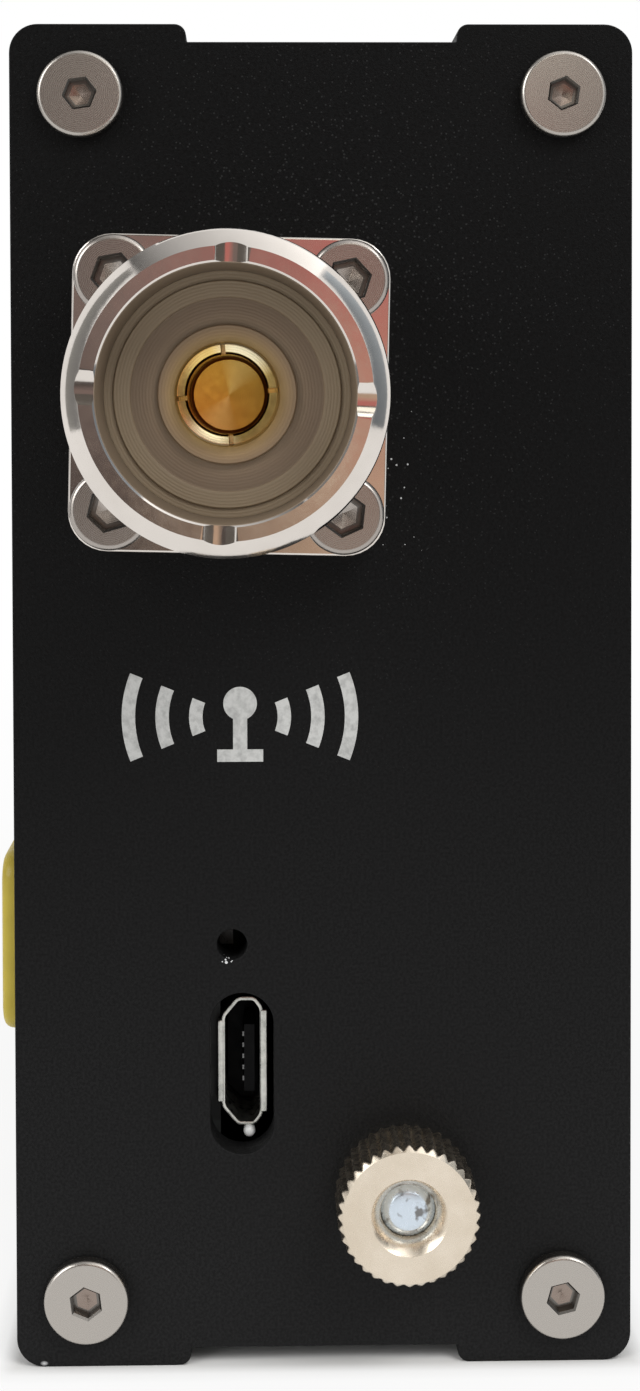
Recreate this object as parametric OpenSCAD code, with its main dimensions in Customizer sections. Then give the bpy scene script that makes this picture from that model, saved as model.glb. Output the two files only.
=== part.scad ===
// Inline standing wave and power meter in a split aluminium case.
// One end plate holds the antenna socket, the charging port and the ground terminal,
// the other end plate holds the transmitter socket. X runs along the case, the front faces -Y.

/* [Case] */
// Length of the two extruded half shells
body_l = 60; // [58:1:90]
// Depth of the case from front face to back face
body_d = 35; // [34:0.5:44]
// Height of the case
body_h = 76; // [75:1:100]
// Wall of the half shells
wall = 1.6; // [1.3:0.1:2.0]
// Radius of the four long edges
corner_r = 1.6; // [1:0.1:2]
// Width of the shallow channel along the top and bottom
recess_w = 15.2; // [10:0.2:16]
// Depth of that channel
recess_depth = 1; // [0.6:0.1:1.2]
// Rounding of the channel's two edges
recess_edge_r = 0.65; // [0.4:0.05:0.8]
// Thickness of the end plates
plate_t = 2; // [1.6:0.1:2.6]

/* [Case screws] */
// Distance of each screw from both edges of the plate
screw_inset = 4; // [3.8:0.1:4.5]
// Thread of the screws
screw_d = 2.5; // [2:0.1:2.6]
// Diameter of the thin flat head
screw_head_d = 4.8; // [4.4:0.1:5.4]
// Thickness of that head
screw_head_t = 0.9; // [0.8:0.1:1.4]
// Hexagon key size
screw_key = 1.5; // [1.3:0.1:1.6]
// Length under the head
screw_l = 9; // [6:0.5:14]

/* [Sockets] */
// Distance of the socket axis in front of the middle of the case
socket_forward = 5.2; // [4.6:0.1:5.8]
// Distance of the socket axis below the top
socket_drop = 20.8; // [19:0.2:23]
// Side of the square flange
flange_w = 17.5; // [17:0.1:18.5]
// Thickness of the flange
flange_t = 2.7; // [2:0.1:3]
// Distance between the flange screws
flange_pitch = 12.7; // [12.4:0.1:13]
// How far the flange sits turned on the plate, in degrees
flange_turn = -1.35; // [-3:0.15:3]
// Outer diameter of the thread
barrel_d = 15.875; // [15.8:0.025:16]
// Length of the barrel in front of the flange
barrel_l = 14.4; // [13:0.1:18]
// Pitch of the thread
thread_pitch = 1.058; // [1:0.001:1.27]
// Bore of the barrel
barrel_bore_d = 12.5; // [12.2:0.1:12.9]
// Depth from the rim to the front of the contact
contact_depth = 4.8; // [4.5:0.1:5.5]
// Bore of the contact
contact_bore_d = 4; // [3.9:0.05:4.2]
// Depth of that bore
contact_bore_l = 8; // [6:0.5:8.5]
// Outer diameter of the contact
contact_d = 5.2; // [5:0.1:5.6]
// Thread of the flange screws
flange_screw_d = 2.5; // [2:0.1:2.6]
// Diameter of their heads
flange_head_d = 4.4; // [4:0.1:4.5]
// Height of their heads
flange_head_t = 1.8; // [1.4:0.1:2.2]

/* [Ground terminal] */
// Distance of the stud behind the middle of the case
ground_back = 4.5; // [3.5:0.1:6]
// Height of the stud
ground_z = 10.2; // [9.6:0.1:11]
// Thread of the stud
stud_d = 3; // [2.5:0.1:3.2]
// Diameter of the thumb nut over its teeth
thumb_d = 7.9; // [7.2:0.1:8.6]
// Thickness of the thumb nut
thumb_t = 3.9; // [3.4:0.1:5]
// Number of teeth around it
thumb_teeth = 36; // [28:1:44]
// Depth of the teeth
thumb_tooth = 0.3; // [0.2:0.05:0.4]
// Thickness of the washer
washer_t = 0.6; // [0.4:0.1:1]

/* [Charging port] */
// Distance of the port in front of the middle of the case
port_forward = 4.65; // [4.4:0.05:4.8]
// Height of the middle of the port
port_z = 16.7; // [15.5:0.1:18]
// Width of the port's metal shell
port_w = 7.5; // [7.3:0.1:7.7]
// Thickness of the port's metal shell
port_t = 2.45; // [2.4:0.05:2.5]
// Length of the port's metal shell
port_l = 5.3; // [5:0.1:6]
// Width of the slot in the plate
slot_w = 3.6; // [3.4:0.1:4]
// Height of the slot in the plate
slot_h = 9.2; // [8.6:0.1:9.6]
// Diameter of the charge light's hole
led_hole_d = 1.7; // [1.4:0.1:2.2]
// Height of the charge light
led_z = 24.1; // [23.4:0.1:25]

/* [Button] */
// Side of the square cap
cap_w = 12.6; // [11.6:0.1:13.6]
// Corner radius of the cap
cap_corner_r = 2; // [1:0.1:3]
// How far the cap stands out of the front face
cap_proud = 4.1; // [3:0.1:5]
// Height of the cap's middle
cap_z = 17; // [16:0.2:18]
// Travel of the cap
cap_travel = 1.8; // [1:0.1:2]
// Side of the square switch under it
switch_w = 8.5; // [8:0.1:9]

/* [Display] */
// Distance of the display's middle below the top
display_drop = 25; // [24:0.2:26]
// Width of the display's board
display_w = 35.4; // [34:0.1:36]
// Height of the display's board
display_h = 33.5; // [32:0.1:34]
// Width of the window's opening
window_w = 31; // [29:0.5:31]
// Height of the window's opening
window_h = 17; // [15:0.5:19]
// Width of the ledge that carries the window
window_ledge = 1.5; // [1:0.1:2]
// Corner radius of the window's opening
window_corner_r = 1.5; // [0.5:0.1:2]
// Thickness of the window
window_t = 0.8; // [0.6:0.05:0.9]

/* [Inside] */
// Thickness of the main board
board_t = 1.6; // [1.2:0.1:1.7]
// Gap between the ring cores and the battery cell
cell_gap = 1.025; // [0.8:0.025:2]
// Width of the battery cell along the case
cell_w = 44; // [36:1:46]
// Height of the battery cell
cell_h = 34; // [28:1:36]
// Outer diameter of the ring cores
core_d = 12.7; // [12:0.1:12.8]
// Bore of the ring cores
core_bore_d = 7.1; // [6.9:0.1:7.4]
// Thickness of the ring cores
core_t = 4.8; // [4.4:0.1:5]
// Turns of wire on each ring core
core_turns = 12; // [8:1:14]

/* [Hidden] */
// Gap between parts that are fitted together and never move
fit_gap = 0.05;
// Gap around parts that slide or turn
run_gap = 0.08;
// Gap around parts that pass freely through a hole
free_gap = 0.3;
// Overlap that keeps cuts clean
cut = 1;
// Least step between two edges that may not meet
sliver = 0.01;
round_fn = 96;

// Places along the case
half_l = body_l / 2;
face_x = half_l + plate_t;
case_y = cap_proud / 2;

// Places across the case, measured from its middle
front_y = -body_d / 2;
front_in_y = front_y + wall;
back_in_y = body_d / 2 - wall;
floor_in = recess_depth + wall;
socket_y = -socket_forward;
socket_z = body_h - socket_drop;
display_z = body_h - display_drop;
port_y = -port_forward;
board_back_y = port_y - port_t / 2 - fit_gap;
board_front_y = board_back_y - board_t;

// Half shells
channel_d = 5.6;
rail_t = 1.2;
rail_h = 2;
rail_root = 0.4;
tongue_l = 1.5;
tongue_t = wall / 2 - fit_gap;

// Case screws
screw_edge = 0.2;
screw_key_floor = 0.27;
screw_key_turn = 20;

// Sockets, from the outer face of the plate along the axis
rim_x = flange_t + barrel_l;
boss_l = 4;
boss_d = 11.2;
neck_d = 13;
neck_l = 4.4;
rim_chamfer = 0.74;
rim_flat_d = 13.2;
thread_depth = 0.45;
thread_land = 0.56;
notch_w = 1.6;
notch_l = 0.4;
notch_turn = -2.5;
flange_corner_r = 2.2;
flange_key = 2;
flange_head_edge = 0.25;
flange_key_floor = 0.54;
flange_key_turn = 12;
screw_past_nut = 0.6;
insulator_seat_x = flange_t;
insulator_stem_d = 8.4;
// Ringed face of the insulator: radius and depth behind the front of the contact
insulator_rings = [[3.52, 0.5], [4.9, 1.3], [5.76, 0.8], [6.2, 1.7]];
contact_x = rim_x - contact_depth;
contact_floor_x = contact_x - contact_bore_l;
contact_cone_l = 1;
contact_stem_d = 3.2;
tail_d = 2.4;
tail_l = 4.5;
slit_w = 0.45;
slit_l = 4;
slit_turn = 3;
boss_end_x = -plate_t - boss_l;
tail_end_x = boss_end_x - tail_l;
tail_reach = face_x + tail_end_x;
nut_af = 5;
nut_t = 2;

// Ground terminal, from the outer face of the plate along the axis
lug_t = 0.6;
lug_d = 6.4;
lug_tail_w = 3;
lug_tail_l = 6;
stud_head_d = 5.5;
stud_head_t = 1.8;
stud_head_edge = 0.4;
stud_edge = 0.3;
washer_d = 7;
thumb_top_x = washer_t + thumb_t;
thumb_dish_d = 4.6;
thumb_dish_l = (thumb_dish_d - stud_d) / 2;
stud_end_x = thumb_top_x - thumb_dish_l;
thumb_edge = 0.35;
// Where a tooth's top starts and ends and where its root starts and ends, as parts of its pitch
tooth_top = [0, 0.3];
tooth_root = [0.5, 0.8];

// Charging port, from the outer face of the plate along the axis
port_plate_gap = 0.2;
port_mouth_x = -plate_t - port_plate_gap;
port_end_x = port_mouth_x - port_l;
port_sheet = 0.28;
port_chamfer = 1;
port_lip = 0.24;
port_lip_l = 0.5;
port_lip_half_w = 3;
port_lip_chamfered_half_w = 2.4;
tongue_w = 3.9;
tongue_y = 0.1;
tongue_plate_t = 0.6;
tongue_setback = 0.6;
tongue_back_l = 1.4;
pin_w = 0.26;
pin_t = 0.1;
pin_setback = 0.9;
pins_each_side = 2;
pin_pitch = 0.65;
led_l = 1.6;
led_w = 0.8;
led_t = 0.75;
led_edge_gap = 0.3;

// Main board
board_lip_gap = 0.1;
board_end_x = face_x + port_mouth_x - port_lip_l - board_lip_gap;
board_side_gap = 0.2;
board_low_z = floor_in + board_side_gap;
board_high_z = body_h - floor_in - board_side_gap;
rail_gap = fit_gap;
boss_gap_x = 0.4;
boss_gap_z = 0.6;
line_slot_l = 4.5;

// Button and switch
// Rounded face of the cap: depth below the face and how far the edge is drawn in there
cap_edges = [[0, 1.1], [0.18, 0.58], [0.5, 0.2], [1, 0]];
cap_edge_fn = 32;
cap_flange = 0.9;
cap_flange_t = 1;
cap_back_y = front_in_y + run_gap;
cap_socket_l = 2.2;
plunger_w = 3;
plunger_foot_t = 1;
plunger_foot_lip = 0.8;
plunger_foot_w = plunger_w + 2 * plunger_foot_lip;
plunger_side_gap = 0.7;
switch_wall = 0.8;
cap_stop_gap = 0.5;
switch_front_y = cap_back_y + cap_flange_t + cap_travel + cap_stop_gap;
plunger_foot_y = switch_front_y + switch_wall + run_gap;

// Display stack, from the front wall inwards
glass_w = 34.5;
glass_h = 23;
glass_t = 1.5;
display_board_t = 1.2;
glass_front_y = front_in_y + fit_gap;
display_board_front_y = glass_front_y + glass_t;
display_board_back_y = display_board_front_y + display_board_t;
spacer_d = 3.6;
spacer_inset = 2.4;
spacer_bore_d = 2.1;
display_screw_d = 2;
display_screw_head_d = 3.4;
display_screw_head_t = 1.2;
display_screw_reach = 4;
header_pins = 4;
header_pitch = 2.54;
header_block_t = 2.5;
header_inset = 2;
header_pin_w = 0.64;

// Ring cores
core_mid_r = (core_d + core_bore_d) / 4;
core_half_w = (core_d - core_bore_d) / 4;
core_edge = 0.5;
wire_d = 0.6;
wrap_gap = 0.25;
wrap_w = core_half_w + wire_d / 2 + wrap_gap;
wrap_l = core_t / 2 + wire_d / 2 + wrap_gap;
wrap_span = 300;
wrap_rings = 12;
wire_sides = 6;
core_seat_gap = 0.15;
core_wound_r = core_mid_r + wrap_w + wire_d / 2;
core_y = board_back_y + core_seat_gap + core_wound_r;
core_reach_y = core_y + core_wound_r;
core_spacing = 18.4;
voltage_core_z = socket_z - core_spacing;
line_d = 2;
line_straight = 6;
line_end_straight = 2;
line_rings = 18;
line_sides = 10;

// Small parts on the main board
trimmer_w = 6.6;
trimmer_t = 4.5;
trimmer_x = 14;
trimmer_rise = 10.8;
trimmer_z = socket_z + trimmer_rise;
trimmer_screw_d = 3.4;
trimmer_screw_depth = 0.6;
diode_d = 1.6;
diode_l = 3.5;
diode_x = 12;
diode_drop = 11.2;
diode_z = socket_z - diode_drop;
chip_w = 7;
chip_t = 1.2;
chip_x = -12;
chip_z = 28;
leg_w = 0.37;
leg_l = 1;
leg_t = 0.2;
leg_out = 0.8;
leg_pitch = 0.8;
chip_side_legs = 8;
charger_x = 14;
charger_z = 27;
charger_l = 4.9;
charger_w = 3.9;
charger_t = 1.5;
charger_pitch = 1.27;
charger_side_legs = 4;
cap_part_l = 2;
cap_part_w = 1.25;
cap_part_t = 1;
cap_part_x = 20;
cap_part_drop = 15.2;
cap_part_pitch = 4;
cap_part_heights = [trimmer_z, socket_z - cap_part_drop, socket_z - cap_part_drop - cap_part_pitch];
port_cap_part_x = 9;
port_cap_part_rise = 3.3;
port_cap_part_heights = [port_z + port_cap_part_rise, port_z + port_cap_part_rise - cap_part_pitch];

// Battery on the back shell
pad_t = 0.5;
pad_inset = 3;
cell_low_z = 26;
cell_back_y = back_in_y - pad_t;
cell_t = cell_back_y - core_reach_y - cell_gap;
cell_edge_r = 2;
plug_x = -14;
plug_z = 11.5;
plug_w = 7;
plug_h = 5;
plug_t = 4.6;
plug_inset = 0.6;
header_t = 4.5;
lead_d = 1.2;
ground_lead_d = 1;
lead_sides = 8;

// Routes of the soft leads, from the middle of the case
positive_route = [
    [-12, 12.6, 26], [-12, 12.6, 23.5], [-12.2, 12, 20], [-12.5, 10.4, 16.5],
    [-12.8, 8.6, 13.6], [-13, 6.6, 11.9], [-13, 5, 11.5], [-13, 3.2, 11.5]
];
negative_route = [
    [-16, 12.6, 26], [-16, 12.6, 23.5], [-15.8, 12, 20], [-15.5, 10.4, 16.5],
    [-15.2, 8.6, 13.6], [-15, 6.6, 11.9], [-15, 5, 11.5], [-15, 3.2, 11.5]
];
// The ground lead starts on the lug, so its points are counted from the stud at the inside of the plate
ground_start = [half_l, ground_back, ground_z];
ground_route = [for (step = [
    [-0.6, 0, 9.2], [-0.6, 0, 10.8], [-1, -0.3, 13.3], [-2.4, -1.7, 15.2],
    [-4.6, -4.3, 16], [-6.2, -6.5, 16], [-7, -8.7, 16], [-7, -10.4, 16]
]) ground_start + step];

// Colours
anodised_black = [0.09, 0.09, 0.1];
nickel = [0.74, 0.71, 0.66];
taupe = [0.42, 0.37, 0.32];
gold = [0.83, 0.62, 0.22];
board_green = [0.05, 0.3, 0.16];
part_black = [0.07, 0.07, 0.07];
copper = [0.72, 0.4, 0.2];

// Placing

module in_case() {
    translate([0, case_y, 0]) children();
}

module on_plate(side) {
    in_case() {
        if (side > 0) translate([face_x, 0, 0]) children();
        else mirror([1, 0, 0]) translate([face_x, 0, 0]) children();
    }
}

module on_socket(side) {
    on_plate(side) translate([0, socket_y, socket_z]) children();
}

module on_ground() {
    on_plate(1) translate([0, ground_back, ground_z]) children();
}

module at_flange_screws() {
    for (y = [-1, 1], z = [-1, 1]) {
        rotate([flange_turn, 0, 0]) translate([0, y * flange_pitch / 2, z * flange_pitch / 2]) children();
    }
}

module at_case_corners() {
    for (y = [-1, 1], top = [0, 1]) {
        translate([0, y * (body_d / 2 - screw_inset), top ? body_h - screw_inset : screw_inset]) children();
    }
}

// Shapes used by several parts

// A flat outline in Y and Z, drawn out along X
module along_x(length) {
    rotate([90, 0, 90]) linear_extrude(length) children();
}

// A flat outline in X and Z, drawn out from y0 to y1
module along_y(y0, y1) {
    translate([0, y1, 0]) rotate([90, 0, 0]) linear_extrude(y1 - y0) children();
}

// A profile of radius and place along X, turned around X
module spun(profile) {
    rotate([0, 90, 0]) rotate_extrude($fn = round_fn) polygon(profile);
}

module rod(d, x0, x1) {
    translate([x0, 0, 0]) rotate([0, 90, 0]) cylinder(d = d, h = x1 - x0, $fn = round_fn);
}

module hex_rod(across_flats, x0, x1) {
    translate([x0, 0, 0]) rotate([0, 90, 0]) cylinder(d = across_flats / cos(30), h = x1 - x0, $fn = 6);
}

module block(x, y, z) {
    translate([x[0], y[0], z[0]]) cube([x[1] - x[0], y[1] - y[0], z[1] - z[0]]);
}

module rounded2d(w, h, r, fn = round_fn) {
    square([w - 2 * r, h], center = true);
    square([w, h - 2 * r], center = true);
    for (x = [-1, 1], y = [-1, 1]) {
        translate([x * (w / 2 - r), y * (h / 2 - r)]) circle(r, $fn = fn);
    }
}

// A screw with its seat at x = 0, its head outwards and a hexagon recess
module key_screw(d, length, head_d, head_t, edge, key, key_floor, turn) {
    difference() {
        spun([
            [0, -length], [d / 2, -length], [d / 2, 0], [head_d / 2, 0],
            [head_d / 2, head_t - edge], [head_d / 2 - edge, head_t], [0, head_t]
        ]);
        rotate([turn, 0, 0]) hex_rod(key, key_floor, head_t + cut);
    }
}

// A tube swept along a list of points
function unit(v) = v / norm(v);
function heading(p, i) = unit(p[min(i + 1, len(p) - 1)] - p[max(i - 1, 0)]);
function carried(p, side, i = 0) =
    i >= len(p) ? [] :
    let (t = heading(p, i), u = unit(side - (side * t) * t))
    concat([u], carried(p, u, i + 1));
function ring(c, u, w, r, sides) =
    [for (k = [0 : sides - 1]) c + r * (cos(360 * k / sides) * u + sin(360 * k / sides) * w)];
function tube_points(p, r, sides, side) =
    let (us = carried(p, side))
    [for (i = [0 : len(p) - 1]) each ring(p[i], us[i], cross(heading(p, i), us[i]), r, sides)];
function tube_sides(rings, sides) =
    [for (i = [0 : rings - 2], k = [0 : sides - 1])
        let (a = i * sides + k, b = i * sides + (k + 1) % sides)
        each [[a, a + sides, b], [b, a + sides, b + sides]]];
function tube_ends(rings, sides) =
    let (last = (rings - 1) * sides)
    [for (k = [1 : sides - 2]) each [[0, k, k + 1], [last, last + k + 1, last + k]]];

module tube(points, d, sides, side) {
    polyhedron(
        tube_points(points, d / 2, sides, side),
        concat(tube_sides(len(points), sides), tube_ends(len(points), sides))
    );
}

// Case

module outline2d() {
    difference() {
        translate([0, body_h / 2]) rounded2d(body_d, body_h, corner_r);
        low_and_high2d(-recess_w / 2, -cut, recess_w, recess_depth + cut);
        for (turn = [0, 180]) {
            translate([0, body_h / 2]) rotate(turn) translate([0, -body_h / 2]) {
                translate([recess_w / 2, 0]) recess_edge2d();
                translate([-recess_w / 2, 0]) rotate(90) recess_edge2d();
            }
        }
    }
}

// What is taken off a sharp edge to round it
module recess_edge2d() {
    difference() {
        translate([-fit_gap, -fit_gap]) square(recess_edge_r + fit_gap);
        translate([recess_edge_r, recess_edge_r]) circle(recess_edge_r, $fn = round_fn);
    }
}

// A strip above the floor and its match below the roof
module low_and_high2d(y, z, w, h) {
    for (low = [z, body_h - z - h]) {
        translate([y, low]) square([w, h]);
    }
}

module walls2d() {
    difference() {
        outline2d();
        translate([front_in_y, floor_in]) square([back_in_y - front_in_y, body_h - 2 * floor_in]);
    }
}

module channels2d(sign, d) {
    for (z = [screw_inset, body_h - screw_inset]) {
        translate([sign * (body_d / 2 - screw_inset), z]) circle(d = d, $fn = round_fn);
    }
}

module half_shell2d(sign) {
    difference() {
        union() {
            intersection() {
                walls2d();
                translate([sign > 0 ? 0 : -body_d, -cut]) square([body_d, body_h + 2 * cut]);
            }
            channels2d(sign, channel_d);
        }
        channels2d(sign, screw_d + 2 * fit_gap);
    }
}

module front_profile2d() {
    difference() {
        half_shell2d(-1);
        low_and_high2d(
            -tongue_l - 2 * fit_gap, floor_in - tongue_t - fit_gap, tongue_l + cut, tongue_t + cut
        );
    }
    for (y = [board_front_y - rail_gap - rail_t, board_back_y + rail_gap]) {
        low_and_high2d(y, floor_in - rail_root, rail_t, rail_h + rail_root);
    }
}

module rear_profile2d() {
    half_shell2d(1);
    low_and_high2d(-tongue_l, floor_in - tongue_t, tongue_l + wall, tongue_t);
}

module front_shell() {
    color(anodised_black) in_case() difference() {
        translate([-half_l, 0, 0]) along_x(body_l) front_profile2d();
        translate([0, 0, display_z]) {
            along_y(front_y - cut, front_in_y + cut) rounded2d(window_w, window_h, window_corner_r);
            along_y(front_y - cut, front_y + window_t) rounded2d(
                window_w + 2 * window_ledge, window_h + 2 * window_ledge, window_corner_r + window_ledge
            );
        }
        translate([0, 0, cap_z]) along_y(front_y - cut, front_in_y + cut)
            rounded2d(cap_w + 2 * free_gap, cap_w + 2 * free_gap, cap_corner_r + free_gap);
    }
}

module rear_shell() {
    color(anodised_black) in_case() translate([-half_l, 0, 0]) along_x(body_l) rear_profile2d();
}

module plate_blank(side) {
    on_plate(side) difference() {
        translate([-plate_t, 0, 0]) along_x(plate_t) outline2d();
        at_case_corners() rod(screw_d + free_gap, -plate_t - cut, cut);
        translate([0, socket_y, socket_z]) {
            rod(boss_d + free_gap, -plate_t - cut, cut);
            at_flange_screws() rod(flange_screw_d + free_gap, -plate_t - cut, cut);
        }
        children();
    }
}

module antenna_plate() {
    color(anodised_black) plate_blank(1) {
        translate([0, ground_back, ground_z]) rod(stud_d + 2 * fit_gap, -plate_t - cut, cut);
        translate([0, socket_y, led_z]) rod(led_hole_d, -plate_t - cut, cut);
        translate([-plate_t - cut, port_y, port_z]) along_x(plate_t + 2 * cut)
            rounded2d(slot_w, slot_h, slot_w / 2 - sliver);
    }
}

module transmitter_plate() {
    color(anodised_black) plate_blank(-1);
}

module plate_screws(side) {
    color(nickel) on_plate(side) at_case_corners() key_screw(
        screw_d, screw_l, screw_head_d, screw_head_t, screw_edge, screw_key, screw_key_floor, screw_key_turn
    );
}

module antenna_plate_screws() {
    plate_screws(1);
}

module transmitter_plate_screws() {
    plate_screws(-1);
}

// Sockets

// Outer half of the barrel's section, from the flange to the rim, with its thread grooves
function thread_section() =
    let (
        r = barrel_d / 2,
        x0 = flange_t + neck_l,
        x1 = rim_x - rim_chamfer,
        turns = floor((x1 - x0 - thread_land) / thread_pitch),
        slope = (thread_pitch - thread_land) / 2
    )
    concat(
        [[neck_d / 2, 0], [neck_d / 2, x0 - slope], [r - thread_depth, x0 - slope]],
        [for (i = [0 : turns - 1]) each [
            [r, x0 + i * thread_pitch],
            [r, x0 + i * thread_pitch + thread_land],
            [r - thread_depth, x0 + i * thread_pitch + thread_land + slope]
        ]],
        [[r, x0 + turns * thread_pitch], [r, x1], [r - rim_chamfer, rim_x]]
    );

module socket_body(side) {
    color(nickel) on_socket(side) difference() {
        union() {
            spun(concat(
                [[insulator_stem_d / 2, boss_end_x], [boss_d / 2, boss_end_x], [boss_d / 2, 0]],
                thread_section(),
                [
                    [rim_flat_d / 2, rim_x], [barrel_bore_d / 2, rim_x - (rim_flat_d - barrel_bore_d) / 2],
                    [barrel_bore_d / 2, insulator_seat_x], [insulator_stem_d / 2, insulator_seat_x]
                ]
            ));
            rotate([flange_turn, 0, 0]) along_x(flange_t) difference() {
                rounded2d(flange_w, flange_w, flange_corner_r);
                circle(d = boss_d, $fn = round_fn);
            }
        }
        at_flange_screws() rod(flange_screw_d + free_gap, -cut, flange_t + cut);
        for (a = [0, 90]) {
            rotate([notch_turn + a, 0, 0])
                block([rim_x - notch_l, rim_x + cut], [-barrel_d, barrel_d], [-notch_w / 2, notch_w / 2]);
        }
    }
}

module antenna_socket_body() {
    socket_body(1);
}

module transmitter_socket_body() {
    socket_body(-1);
}

module socket_insulator(side) {
    r_in = contact_d / 2 + fit_gap;
    r_out = barrel_bore_d / 2 - fit_gap;
    r_stem = insulator_stem_d / 2 - fit_gap;
    seat_x = insulator_seat_x + fit_gap;
    face = [for (i = [0 : len(insulator_rings) - 1]) each [
        [i == 0 ? r_in : insulator_rings[i - 1][0], contact_x - insulator_rings[i][1]],
        [i == len(insulator_rings) - 1 ? r_out : insulator_rings[i][0], contact_x - insulator_rings[i][1]]
    ]];
    color(taupe) on_socket(side) spun(concat(
        [[contact_stem_d / 2 + fit_gap, boss_end_x]],
        [[contact_stem_d / 2 + fit_gap, seat_x], [r_in, seat_x]],
        face,
        [[r_out, seat_x], [r_stem, seat_x], [r_stem, boss_end_x]]
    ));
}

module antenna_socket_insulator() {
    socket_insulator(1);
}

module transmitter_socket_insulator() {
    socket_insulator(-1);
}

module socket_contact(side) {
    shoulder_x = insulator_seat_x + 2 * fit_gap;
    color(gold) on_socket(side) difference() {
        spun([
            [0, tail_end_x], [tail_d / 2, tail_end_x], [tail_d / 2, boss_end_x],
            [contact_stem_d / 2, boss_end_x], [contact_stem_d / 2, shoulder_x],
            [contact_d / 2, shoulder_x], [contact_d / 2, contact_x], [contact_bore_d / 2, contact_x],
            [contact_bore_d / 2, contact_floor_x], [0, contact_floor_x - contact_cone_l]
        ]);
        for (a = [0, 90]) {
            rotate([slit_turn + a, 0, 0]) block(
                [contact_x - slit_l, contact_x + cut], [-contact_d, contact_d], [-slit_w / 2, slit_w / 2]
            );
        }
    }
}

module antenna_socket_contact() {
    socket_contact(1);
}

module transmitter_socket_contact() {
    socket_contact(-1);
}

module socket_screws(side) {
    length = flange_t + plate_t + nut_t + screw_past_nut;
    color(nickel) on_socket(side) at_flange_screws() translate([flange_t, 0, 0]) key_screw(
        flange_screw_d, length, flange_head_d, flange_head_t, flange_head_edge,
        flange_key, flange_key_floor, flange_key_turn
    );
}

module antenna_socket_screws() {
    socket_screws(1);
}

module transmitter_socket_screws() {
    socket_screws(-1);
}

module socket_nuts(side) {
    color(nickel) on_socket(side) at_flange_screws() difference() {
        hex_rod(nut_af, -plate_t - nut_t, -plate_t);
        rod(flange_screw_d + 2 * fit_gap, -plate_t - nut_t - cut, cut);
    }
}

module antenna_socket_nuts() {
    socket_nuts(1);
}

module transmitter_socket_nuts() {
    socket_nuts(-1);
}

// Ground terminal

module ground_stud() {
    head_x = -plate_t - lug_t;
    color(nickel) on_ground() spun([
        [0, head_x - stud_head_t], [stud_head_d / 2 - stud_head_edge, head_x - stud_head_t],
        [stud_head_d / 2, head_x - stud_head_t + stud_head_edge], [stud_head_d / 2, head_x],
        [stud_d / 2, head_x], [stud_d / 2, stud_end_x - stud_edge],
        [stud_d / 2 - stud_edge, stud_end_x], [0, stud_end_x]
    ]);
}

module ground_lug() {
    color(nickel) on_ground() difference() {
        translate([-plate_t - lug_t, 0, 0]) along_x(lug_t) union() {
            circle(d = lug_d, $fn = round_fn);
            translate([-lug_tail_w / 2, 0]) square([lug_tail_w, lug_d / 2 + lug_tail_l]);
        }
        rod(stud_d + 2 * fit_gap, -plate_t - lug_t - cut, cut);
    }
}

module ground_washer() {
    color(nickel) on_ground() difference() {
        rod(washer_d, 0, washer_t);
        rod(stud_d + 2 * run_gap, -cut, washer_t + cut);
    }
}

module ground_thumb_nut() {
    r = thumb_d / 2;
    teeth = [for (i = [0 : thumb_teeth - 1], k = concat(tooth_top, tooth_root))
        let (a = 360 * (i + k) / thumb_teeth) (k < tooth_root[0] ? r : r - thumb_tooth) * [cos(a), sin(a)]];
    color(nickel) on_ground() difference() {
        intersection() {
            translate([washer_t, 0, 0]) along_x(thumb_t) polygon(teeth);
            spun([
                [0, washer_t], [r - thumb_edge, washer_t], [r, washer_t + thumb_edge],
                [r, thumb_top_x - thumb_edge], [r - thumb_edge, thumb_top_x], [0, thumb_top_x]
            ]);
        }
        rod(stud_d + 2 * run_gap, washer_t - cut, thumb_top_x + cut);
        spun([
            [0, thumb_top_x - thumb_dish_l], [stud_d / 2 + run_gap, thumb_top_x - thumb_dish_l],
            [thumb_dish_d / 2, thumb_top_x], [thumb_dish_d / 2, thumb_top_x + cut], [0, thumb_top_x + cut]
        ]);
    }
}

module ground_lead() {
    color([0.1, 0.35, 0.15]) in_case() tube(ground_route, ground_lead_d, lead_sides, [1, 0, 0]);
}

// Main board and what is soldered on it

module main_board() {
    boss_cut_x = face_x + boss_end_x - boss_gap_x;
    line_cut_x = tail_reach - line_slot_l;
    color(board_green) in_case() difference() {
        block([-board_end_x, board_end_x], [board_front_y, board_back_y], [board_low_z, board_high_z]);
        for (side = [-1, 1]) {
            scale([side, 1, 1]) {
                block([boss_cut_x, board_end_x + cut], [board_front_y - cut, board_back_y + cut],
                    [socket_z - boss_d / 2 - boss_gap_z, socket_z + boss_d / 2 + boss_gap_z]);
                block([line_cut_x, board_end_x], [board_front_y - cut, board_back_y + cut],
                    [socket_z - tail_d / 2 - free_gap, socket_z + tail_d / 2 + free_gap]);
            }
        }
    }
}

module port_section2d(inset) {
    w = port_w / 2 - inset;
    t = port_t / 2 - inset;
    c = port_chamfer - inset * (2 - sqrt(2));
    polygon([[-t, -w + c], [-t, w - c], [-t + c, w], [t, w], [t, -w], [-t + c, -w]]);
}

module on_port() {
    on_plate(1) translate([0, port_y, port_z]) children();
}

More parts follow.
